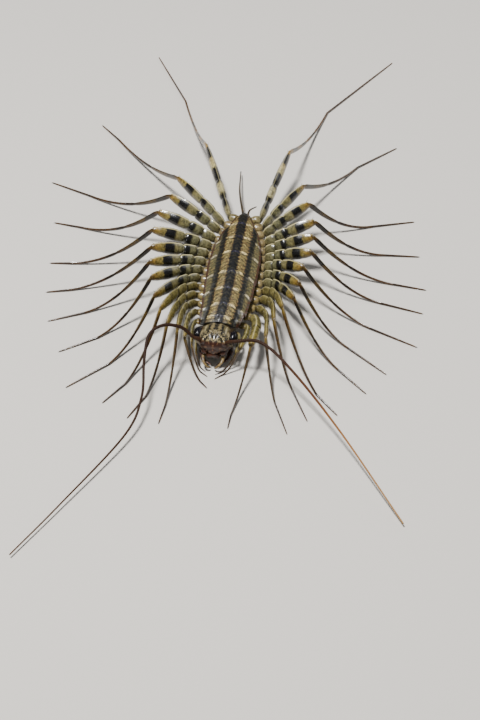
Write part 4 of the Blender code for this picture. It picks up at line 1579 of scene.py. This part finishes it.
    def add_spines(self, bm: bmesh.types.BMesh, draw: random.Random) -> None:
        """Set the stout spines at the joints and the small ones along the ridges.

        Args:
            bm: the leg.
            draw: seeded source of small variations.
        """
        girth = self.pair.girth
        knots = [(row, row.first + row.pitch * step) for row in SPINE_ROWS for step in range(row.count)]
        for row, place in knots:
            stage = row.stage
            centre = self.middle(stage, place)
            along = (self.middle(stage, place + self.spine_aim) - centre).normalized()
            part = next(p for p in PODOMERES if p.stage is stage and p.start <= place <= p.end)
            thick, depth = blend_rows(part.girths, (place - part.start) / (part.end - part.start))
            broad, deep = self.widths(stage)
            broad *= self.fill(stage, place)
            aside = along.cross(UP).normalized()
            top = aside.cross(along)
            for lean in (-self.spine_lean, self.spine_lean):
                up, out = math.cos(lean), math.sin(lean)
                root = centre + top * depth * deep * up + aside * thick * broad * out
                size = row.length * girth * draw.uniform(*self.spine_vary)
                thin = self.spine_girth[0] * girth + self.spine_girth[1] * size
                add_spine(bm, root, along + self.spine_flare * (top * up + aside * out), size, thin)

    def finish(self) -> Finish:
        """Choose the leg's banding by its place in the row.

        Returns:
            The finish.
        """
        if self.number == PLAN.leg_count:
            return Finish.LAST_LEG
        return Finish.FRONT_LEG if self.number < self.fan_first else Finish.MIDDLE_LEG

    def build(self) -> None:
        """Build the whole leg as one piece."""
        bm = bmesh.new()
        for part in PODOMERES[:-1]:
            crest = 0.0 if part.stage is Stage.COXA else self.crest
            add_limb(bm, self.rings(part), self.sides, self.keel, crest)
        add_limb(bm, self.foot_rings(PODOMERES[-1]), self.foot_sides)
        reach, level = (bm.verts.layers.float[word] for word in LIMB_LAYERS)
        known = len(bm.verts)
        self.add_spines(bm, random.Random(100 * self.number + self.side.value))
        girth = self.pair.girth
        add_spine(bm, self.tip, self.ahead, self.claw_length * girth, self.claw_girth * girth)
        bm.verts.ensure_lookup_table()
        for vert in bm.verts[known:]:
            vert[reach] = self.spine_reach
            vert[level] = self.spine_level
        for vert in bm.verts:
            vert.co.z = max(0.0, vert.co.z)
        name = f"leg_{self.side.word}_{self.number:02d}"
        self.bench.set_down(f"{name}_shell", bm, self.finish(), Slot.LEG, (name,))


@dataclass(frozen=True)
class Lump:
    """A rounded hard plate of the face, narrower to the front.

    It holds its middle from the head's middle, its half sizes, how much narrower its front
    is, as a share, and its segments round and from pole to pole.
    """

    centre: Triple
    radii: Triple
    pinch: float
    detail: tuple[int, int] = (32, 20)
    dent: float = 0.05
    dent_scale: float = 2.3

    def build(self, sign: int = 1) -> bmesh.types.BMesh:
        """Build the plate.

        Args:
            sign: 1 for a middle or left plate, -1 for a right one.

        Returns:
            Its bmesh.
        """
        bm = bmesh.new()
        centre = Vector((sign * self.centre[0], *self.centre[1:]))
        wide, long, high = self.radii
        bmesh.ops.create_uvsphere(bm, u_segments=self.detail[0], v_segments=self.detail[1], radius=1.0)
        for vert in bm.verts:
            unit = vert.co.copy()
            narrow = 1.0 - self.pinch * (0.5 - 0.5 * unit.y)
            bump = 1.0 + self.dent * noise.noise(unit * self.dent_scale + centre)
            vert.co = Vector((unit.x * wide * narrow, unit.y * long, unit.z * high)) * bump
            vert.co += centre
        turn_outwards(bm, list(bm.faces))
        return bm


@dataclass
class Head:
    """The head capsule with its face, eyes, feelers and mouthparts.

    Places are millimetres from the head's middle. The eye rim's place is in eye radii from
    the eye's middle, and the slant furrow's is 0 on a line that runs aslant over the head.
    """

    bench: Bench
    x: float = -0.85
    y: float = -22.2
    z: float = 5.75
    yaw: float = -3.0
    radii: Triple = (4.5, 3.9, 2.85)
    detail: tuple[int, int] = (80, 56)
    nape: float = 0.5
    nape_power: float = 1.5
    middle_furrow: Swell = Swell(-0.2, 0.0, 0.3)
    lobes: Swell = Swell(0.2, 1.2, 0.75)
    slant_furrow: Swell = Swell(-0.14, 0.0, 0.18)
    slant: float = 0.55
    slant_from: tuple[float, float] = (0.9, -1.0)
    dent: float = 0.09
    dent_scale: float = 0.9
    rear_face: float = 3.4
    eye_offset: Triple = (3.95, 0.1, 0.75)
    eye_radii: Triple = (1.15, 1.75, 1.45)
    eye_roll: float = 22.0
    eye_detail: int = 5
    eye_margin: float = 0.15
    eye_rim: Swell = Swell(0.2, 1.12, 0.12)
    clypeus: Lump = Lump((0.0, -2.65, -0.75), (2.1, 1.4, 1.45), 0.3)
    upper_lip: Lump = Lump((0.0, -3.35, -2.0), (1.35, 0.75, 0.7), 0.2)
    cheek: Lump = Lump((2.1, -1.7, -1.65), (1.3, 1.9, 1.15), 0.25)
    jaw: Lump = Lump((0.95, -2.9, -2.45), (0.85, 1.0, 0.65), 0.3, (24, 14))
    feeler_seat: Triple = (2.75, -2.55, 1.35)
    feeler_lean: Triple = (0.75, -0.35, 0.56)
    socket_sides: int = 20
    socket_profile: tuple[tuple[float, float], ...] = (
        (-0.7, 0.95), (-0.2, 0.98), (0.12, 0.9), (0.3, 0.74), (0.3, 0.58), (0.05, 0.5),
    )

    def frame(self) -> Matrix:
        """Give the matrix that carries the head's own frame to the body's."""
        return Matrix.Translation((self.x, self.y, self.z)) @ self.turn()

    def turn(self) -> Matrix:
        """Give the head's turn about the upright."""
        return Matrix.Rotation(math.radians(self.yaw), 4, "Z")

    def place(self, offset: Triple, side: Side = Side.LEFT) -> Vector:
        """Carry a place given from the head's middle into the body's frame."""
        local = Vector((side.value * offset[0], offset[1], offset[2]))
        return Vector((self.x, self.y, self.z)) + self.turn() @ local

    def feeler_direction(self, side: Side) -> Vector:
        """Give the direction in which a feeler leaves the head."""
        lean = self.feeler_lean
        return Vector((side.value * lean[0], lean[1], lean[2])).normalized()

    def set_down(self, name: str, bm: bmesh.types.BMesh, finish: Finish = Finish.HEAD) -> None:
        """Carry a part of the head from its own frame to the body's and finish it.

        Args:
            name: the piece's name.
            bm: its shape, given from the head's middle.
            finish: what it is covered with.
        """
        layer = bm.verts.layers.float_vector.new("local")
        for vert in bm.verts:
            vert[layer] = vert.co
        bmesh.ops.transform(bm, matrix=self.frame(), verts=bm.verts)
        self.bench.set_down(name, bm, finish, Slot.HEAD, ("head",))

    def capsule_point(self, unit: Vector) -> Vector:
        """Shape one point of the capsule from a point of the unit ball.

        Args:
            unit: the point on the ball.

        Returns:
            The point from the head's middle, in millimetres.
        """
        point = Vector(unit[axis] * self.radii[axis] for axis in range(3))
        crown = max(0.0, unit.z)
        point.z += self.nape * crown * max(0.0, unit.y) ** self.nape_power
        point.z += self.middle_furrow.at(point.x) * crown
        point.z += self.lobes.at(abs(point.x)) * crown
        aside, back = self.slant_from
        line = abs(point.x) - aside - self.slant * (point.y - back)
        point.z += self.slant_furrow.at(line) * crown
        seat = Vector((math.copysign(self.eye_offset[0], point.x), *self.eye_offset[1:]))
        away = point - seat
        radii = [radius + self.eye_margin for radius in self.eye_radii]
        share = math.sqrt(sum((gone / radius) ** 2 for gone, radius in zip(away, radii)))
        point += point.normalized() * self.eye_rim.at(share)
        mirrored = Vector((abs(point.x), point.y, point.z))
        point += point.normalized() * self.dent * noise.noise(self.dent_scale * mirrored)
        point.y = min(point.y, self.rear_face)
        return point

    def build_capsule(self) -> None:
        """Build the capsule with its furrows and the raised rims round the eyes."""
        bm = bmesh.new()
        quarter = Matrix.Rotation(math.pi / 2, 4, "Y")
        around, along = self.detail
        bmesh.ops.create_uvsphere(bm, u_segments=around, v_segments=along, radius=1.0, matrix=quarter)
        for vert in bm.verts:
            vert.co = self.capsule_point(vert.co.copy())
        turn_outwards(bm, list(bm.faces))
        self.set_down("head_capsule", bm)

    def build_face(self) -> None:
        """Build the clypeus, the upper lip, the cheeks, the jaws' bases and the feelers' seats."""
        self.set_down("clypeus", self.clypeus.build())
        self.set_down("upper_lip", self.upper_lip.build(), Finish.JAW)
        for side in Side:
            self.set_down(f"cheek_{side.word}", self.cheek.build(side.value))
            self.set_down(f"jaw_{side.word}", self.jaw.build(side.value), Finish.JAW)
            self.build_socket(side)

    def build_socket(self, side: Side) -> None:
        """Build the raised ring from which a feeler grows.

        Args:
            side: the animal's own side.
        """
        out = self.feeler_direction(side)
        seat = self.place(self.feeler_seat, side)
        bm = bmesh.new()
        rings = [Ring(seat + out * place, size, size, place) for place, size in self.socket_profile]
        add_limb(bm, rings, self.socket_sides)
        bmesh.ops.transform(bm, matrix=self.frame().inverted(), verts=bm.verts)
        self.set_down(f"feeler_socket_{side.word}", bm)

    def build_eyes(self) -> None:
        """Build the two large oval eyes."""
        for side in Side:
            bm = bmesh.new()
            lean = Matrix.Rotation(math.radians(side.value * self.eye_roll), 4, "Y")
            size = Matrix.Diagonal((*self.eye_radii, 1.0))
            matrix = Matrix.Translation(self.place(self.eye_offset, side)) @ self.turn() @ lean @ size
            bmesh.ops.create_icosphere(bm, subdivisions=self.eye_detail, radius=1.0, matrix=matrix)
            self.bench.set_down(f"eye_{side.word}_lenses", bm, Finish.EYE, Slot.EYE, (f"eye_{side.word}",))

    def build(self) -> None:
        """Build the whole head."""
        self.build_capsule()
        self.build_face()
        self.build_eyes()
        for side in Side:
            Feeler(self, side).build()
            PoisonClaw(self, side).build()
            Palp(self, side).build()


@dataclass
class Feeler:
    """One feeler: two stout joints and a long ringed whip.

    Its bends are places in the body's frame. Its first places are millimetres from its root
    along its first direction, and a knot is a thickening or a neck at a length from there.
    """

    head: Head
    side: Side
    left_bends: tuple[Triple, ...] = (
        (10.1, -26.7, 9.7), (18.0, -32.9, 7.6), (30.4, -47.6, 4.2), (46.5, -71.0, 1.0),
    )
    right_bends: tuple[Triple, ...] = (
        (-8.4, -25.7, 11.4), (-12.3, -27.0, 12.6), (-15.0, -30.0, 11.9), (-15.3, -35.6, 8.8),
        (-14.7, -43.5, 5.2), (-17.0, -53.5, 2.6), (-27.5, -75.3, 1.4), (-35.4, -91.0, 1.0),
    )
    sides: int = 10
    steps: int = 60
    clear_of_seat: float = 0.45
    first_places: tuple[float, ...] = (-0.6, 0.0, 0.3)
    scape_length: float = 1.6
    tip_girth: float = 0.17
    root_gain: float = 0.27
    taper: float = 1.6
    knots: tuple[Swell, ...] = (Swell(0.25, 1.4, 0.6), Swell(-0.25, 2.3, 0.15), Swell(-0.25, 3.4, 0.12))

    def build(self) -> None:
        """Build the feeler as one piece."""
        is_left = self.side is Side.LEFT
        out = self.head.feeler_direction(self.side)
        root = self.head.place(self.head.feeler_seat, self.side) + out * (self.clear_of_seat + GAP)
        bends = self.left_bends if is_left else self.right_bends
        curve = smooth_route([root + out * self.scape_length, *(Vector(bend) for bend in bends)], self.steps)
        route = [*(root + out * place for place in self.first_places), *curve]
        lengths = [0.0]
        for before, after in zip(route, route[1:]):
            lengths.append(lengths[-1] + (after - before).length)
        rings = []
        for point, length in zip(route, lengths):
            girth = self.tip_girth + self.root_gain * (1.0 - length / lengths[-1]) ** self.taper
            girth *= 1.0 + sum(knot.at(length) for knot in self.knots)
            rings.append(Ring(point, girth, girth, length))
        bm = bmesh.new()
        add_limb(bm, rings, self.sides)
        bm.verts.layers.float.new("share")
        share, reach = bm.verts.layers.float["share"], bm.verts.layers.float["reach"]
        for vert in bm.verts:
            vert[share] = vert[reach] / lengths[-1]
        word = self.side.word
        nodes = (f"antenna_{word}_base", f"antenna_{word}_whip")
        finish = Finish.FEELER_LEFT_HIGHLIT if is_left else Finish.FEELER_RIGHT
        self.head.bench.set_down(f"feeler_{word}", bm, finish, Slot.FEELER, nodes)


@dataclass
class PoisonClaw:
    """One poison claw in its four lengths, the last one dark and sharp.

    Its bends are places in the body's frame, with X from the middle line. A row of its
    lengths holds where along the claw it starts and ends, and its girths there.
    """

    head: Head
    side: Side
    bends: tuple[Triple, ...] = (
        (2.0, -18.4, 3.7), (2.2, -19.5, 3.15), (2.6, -20.6, 2.4), (3.3, -22.0, 1.9), (2.6, -24.6, 1.4),
        (0.6, -26.4, 1.35),
    )
    lengths: tuple[tuple[float, float, float, float], ...] = (
        (0.0, 0.42, 0.82, 0.92), (0.41, 0.56, 0.86, 0.8), (0.55, 0.68, 0.78, 0.7), (0.67, 1.0, 0.66, 0.1),
    )
    sides: int = 18
    bend_steps: int = 8
    steps: int = 10
    taper: float = 0.8
    flat: float = 0.62
    root_round: tuple[float, float] = (0.72, 2.2)
    end_round: tuple[float, float] = (0.8, 2.0)

    def build(self) -> None:
        """Build the claw as one piece."""
        middle = PLAN.spine_x(PLAN.trunk_front)
        bends = [Vector((middle + self.side.value * x, y, z)) for x, y, z in self.bends]
        route = smooth_route(bends, self.bend_steps)
        bm = bmesh.new()
        for start, end, first, last in self.lengths:
            rings = []
            for step in range(self.steps + 1):
                share = step / self.steps
                place = (start + (end - start) * share) * (len(route) - 1)
                index = min(len(route) - 2, int(place))
                centre = route[index].lerp(route[index + 1], place - index)
                girth = first + (last - first) * share ** self.taper
                at_root = self.root_round[0] + self.root_round[1] * share
                at_end = self.end_round[0] + self.end_round[1] * (1.0 - share)
                girth *= min(1.0, at_root, at_end)
                rings.append(Ring(centre, girth, self.flat * girth, place))
            add_limb(bm, rings, self.sides)
        word = self.side.word
        self.head.bench.set_down(f"poison_claw_{word}", bm, Finish.JAW, Slot.CLAW, (f"forcipule_{word}",))


@dataclass
class Palp:
    """One thin mouth palp, bent like a small leg below the face.

    Its bends are places from the head's middle, and its joints are where along the route's
    steps each length starts and ends.
    """

    head: Head
    side: Side
    bends: tuple[Triple, ...] = (
        (1.5, -1.6, -2.6), (2.3, -3.2, -2.9), (2.0, -4.6, -3.4), (1.1, -5.0, -4.4), (0.5, -4.6, -5.0),
    )
    joints: tuple[tuple[int, int], ...] = ((0, 7), (6, 13), (12, 18), (17, 24))
    sides: int = 12
    bend_steps: int = 6
    root_girth: float = 0.42
    taper: float = 0.25
    ends: float = 0.8
    swell: float = 0.3
    first_bristle: int = 8
    bristle_spread: float = 0.4
    bristle_lean: float = 0.5
    bristle_length: float = 0.55
    bristle_girth: float = 0.07

    def build(self) -> None:
        """Build the palp with the bristles below its outer lengths."""
        sign = self.side.value
        bends = [self.head.place((sign * x, y, z)) for x, y, z in self.bends]
        route = smooth_route(bends, self.bend_steps)
        bm = bmesh.new()
        count = len(route) - 1
        for start, end in self.joints:
            rings = []
            for index in range(start, end + 1):
                share = (index - start) / (end - start)
                girth = self.root_girth - self.taper * index / count
                girth *= self.ends + self.swell * math.sin(math.pi * share) ** 0.5
                rings.append(Ring(route[index], girth, girth, index / count))
            add_limb(bm, rings, self.sides)
        draw = random.Random(40 + sign)
        for index in range(self.first_bristle, count - 1, 2):
            aside = draw.uniform(-self.bristle_spread, self.bristle_spread)
            along = Vector((aside, -self.bristle_lean, -1.0))
            add_spine(bm, route[index], along, self.bristle_length, self.bristle_girth)
        self.head.bench.set_down(f"mouth_palp_{self.side.word}", bm, Finish.PALP, Slot.HEAD)


@dataclass
class Tail:
    """The last body rings with two thin styles.

    A ring row holds a share of the length and a share of the half sizes, and the styles'
    tips are places in the body's frame.
    """

    bench: Bench
    length: float = 1.6
    radii: tuple[float, float] = (1.3, 0.85)
    height: float = 4.35
    droop: float = 0.1
    sides: int = 24
    profile: tuple[tuple[float, float], ...] = (
        (-0.3, 0.9), (0.1, 1.0), (0.45, 0.96), (0.5, 0.84), (0.56, 0.9), (0.85, 0.66), (1.0, 0.3),
    )
    style_root: tuple[float, float] = (0.5, 0.6)
    style_bow: Triple = (-0.6, 0.0, 0.4)
    style_tips: tuple[Triple, ...] = ((-4.0, 46.0, 1.4), (1.9, 30.0, 3.4))
    style_steps: int = 14
    style_sides: int = 12
    style_thick: float = 0.34
    style_thin: float = 0.14

    def build(self) -> None:
        """Build the tail as one piece."""
        front = PLAN.core_end
        bm = bmesh.new()
        rings = []
        for share, size in self.profile:
            centre = Vector((0.0, front + share * self.length, self.height - self.droop * share))
            rings.append(Ring(centre, size * self.radii[0], size * self.radii[1], share))
        add_limb(bm, rings, self.sides)
        aside, behind = self.style_root
        for side, tip in zip(Side, self.style_tips):
            root = Vector((side.value * aside, front + behind, self.height))
            middle = root.lerp(Vector(tip), 0.5) + Vector(self.style_bow)
            route = smooth_route([root, middle, Vector(tip)], self.style_steps)
            rings = []
            for step, point in enumerate(route):
                share = step / (len(route) - 1)
                girth = self.style_thick + (self.style_thin - self.style_thick) * share
                rings.append(Ring(point, girth, girth, share))
            add_limb(bm, rings, self.style_sides)
        self.bench.set_down("tail_rings", bm, Finish.TAIL, Slot.TAIL, ("tail",))


@dataclass(frozen=True)
class Lamp:
    """A soft square light: its name, its place and side in metres, and its power in watts."""

    name: str
    spot: Triple
    size: float
    watts: float

    def build(self) -> None:
        """Hang the light so that it looks at the animal."""
        data = bpy.data.lights.new(self.name, "AREA")
        data.shape = "SQUARE"
        data.size = self.size
        data.energy = self.watts
        light = bpy.data.objects.new(self.name, data)
        light.location = self.spot
        light.rotation_euler = (-Vector(self.spot)).to_track_quat("-Z", "Y").to_euler()
        bpy.context.scene.collection.objects.link(light)


@dataclass
class Studio:
    """Pale floor, soft lights and the camera, which is given in the animal's frame."""

    place: Matrix
    eye: Triple = (60.65, -446.81, 385.37)
    target: Triple = (4.785, -22.468, 0.0)
    lens: float = 124.83
    film: float = 36.0
    floor_half: float = 5.0
    floor_drop: float = 0.00002
    paper: str = "#cfcac2"
    paper_roughness: float = 0.9
    lamps: tuple[Lamp, Lamp] = (
        Lamp("key", (-0.12, -0.1, 0.6), 0.1, 7.5), Lamp("fill", (0.5, 0.3, 0.35), 0.4, 1.0),
    )
    sky_colour: str = "#dfe3ea"
    sky: float = 0.22

    def build_floor(self) -> None:
        """Build the plain pale floor, matt as paper."""
        bm = bmesh.new()
        lowered = Matrix.Translation((0.0, 0.0, -self.floor_drop))
        bmesh.ops.create_grid(bm, x_segments=1, y_segments=1, size=self.floor_half, matrix=lowered)
        mesh = bpy.data.meshes.new("floor")
        bm.to_mesh(mesh)
        bm.free()
        material = bpy.data.materials.new("matt_paper_floor")
        material.use_nodes = True
        shader = material.node_tree.nodes["Principled BSDF"]
        shader.inputs["Base Color"].default_value = linear(self.paper)
        shader.inputs["Roughness"].default_value = self.paper_roughness
        mesh.materials.append(material)
        floor = bpy.data.objects.new("floor", mesh)
        bpy.context.scene.collection.objects.link(floor)

    def build_camera(self) -> None:
        """Build the camera from its place in the animal's frame."""
        data = bpy.data.cameras.new("camera")
        data.lens = self.lens
        data.sensor_width = self.film
        camera = bpy.data.objects.new("camera", data)
        eye, target = self.place @ Vector(self.eye), self.place @ Vector(self.target)
        camera.location = eye
        camera.rotation_euler = (target - eye).to_track_quat("-Z", "Y").to_euler()
        bpy.context.scene.collection.objects.link(camera)
        bpy.context.scene.camera = camera

    def build(self) -> None:
        """Set up the studio."""
        self.build_floor()
        self.build_camera()
        for lamp in self.lamps:
            lamp.build()
        world = bpy.data.worlds.new("studio")
        world.use_nodes = True
        background = world.node_tree.nodes["Background"]
        background.inputs["Color"].default_value = linear(self.sky_colour)
        background.inputs["Strength"].default_value = self.sky
        bpy.context.scene.world = world


def frame_place() -> Matrix:
    """Find how the animal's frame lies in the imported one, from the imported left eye.

    Returns:
        The matrix from millimetres in the animal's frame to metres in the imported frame.
    """
    low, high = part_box("eye_left")
    middle = (low + high) / 2 / METRES_PER_MM
    head = Head(Bench(Matrix(), {}))
    eye = head.place(head.eye_offset, Side.LEFT)
    shift = Matrix.Translation((middle.x - eye.x, middle.y - eye.y, 0.0))
    return Matrix.Scale(METRES_PER_MM, 4) @ shift


def main() -> None:
    """Build every piece in order."""
    logging.basicConfig(level=logging.INFO, format="%(message)s")
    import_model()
    place = frame_place()
    bench = Bench(place, {finish: finish.value.build() for finish in Finish})
    Studio(place).build()
    BackPlates(bench).build()
    SoftTrunk(bench).build()
    Head(bench).build()
    Tail(bench).build()
    for number in LEG_PAIRS:
        for side in Side:
            Leg(bench, number, side).build()


if __name__ == "__main__":
    main()
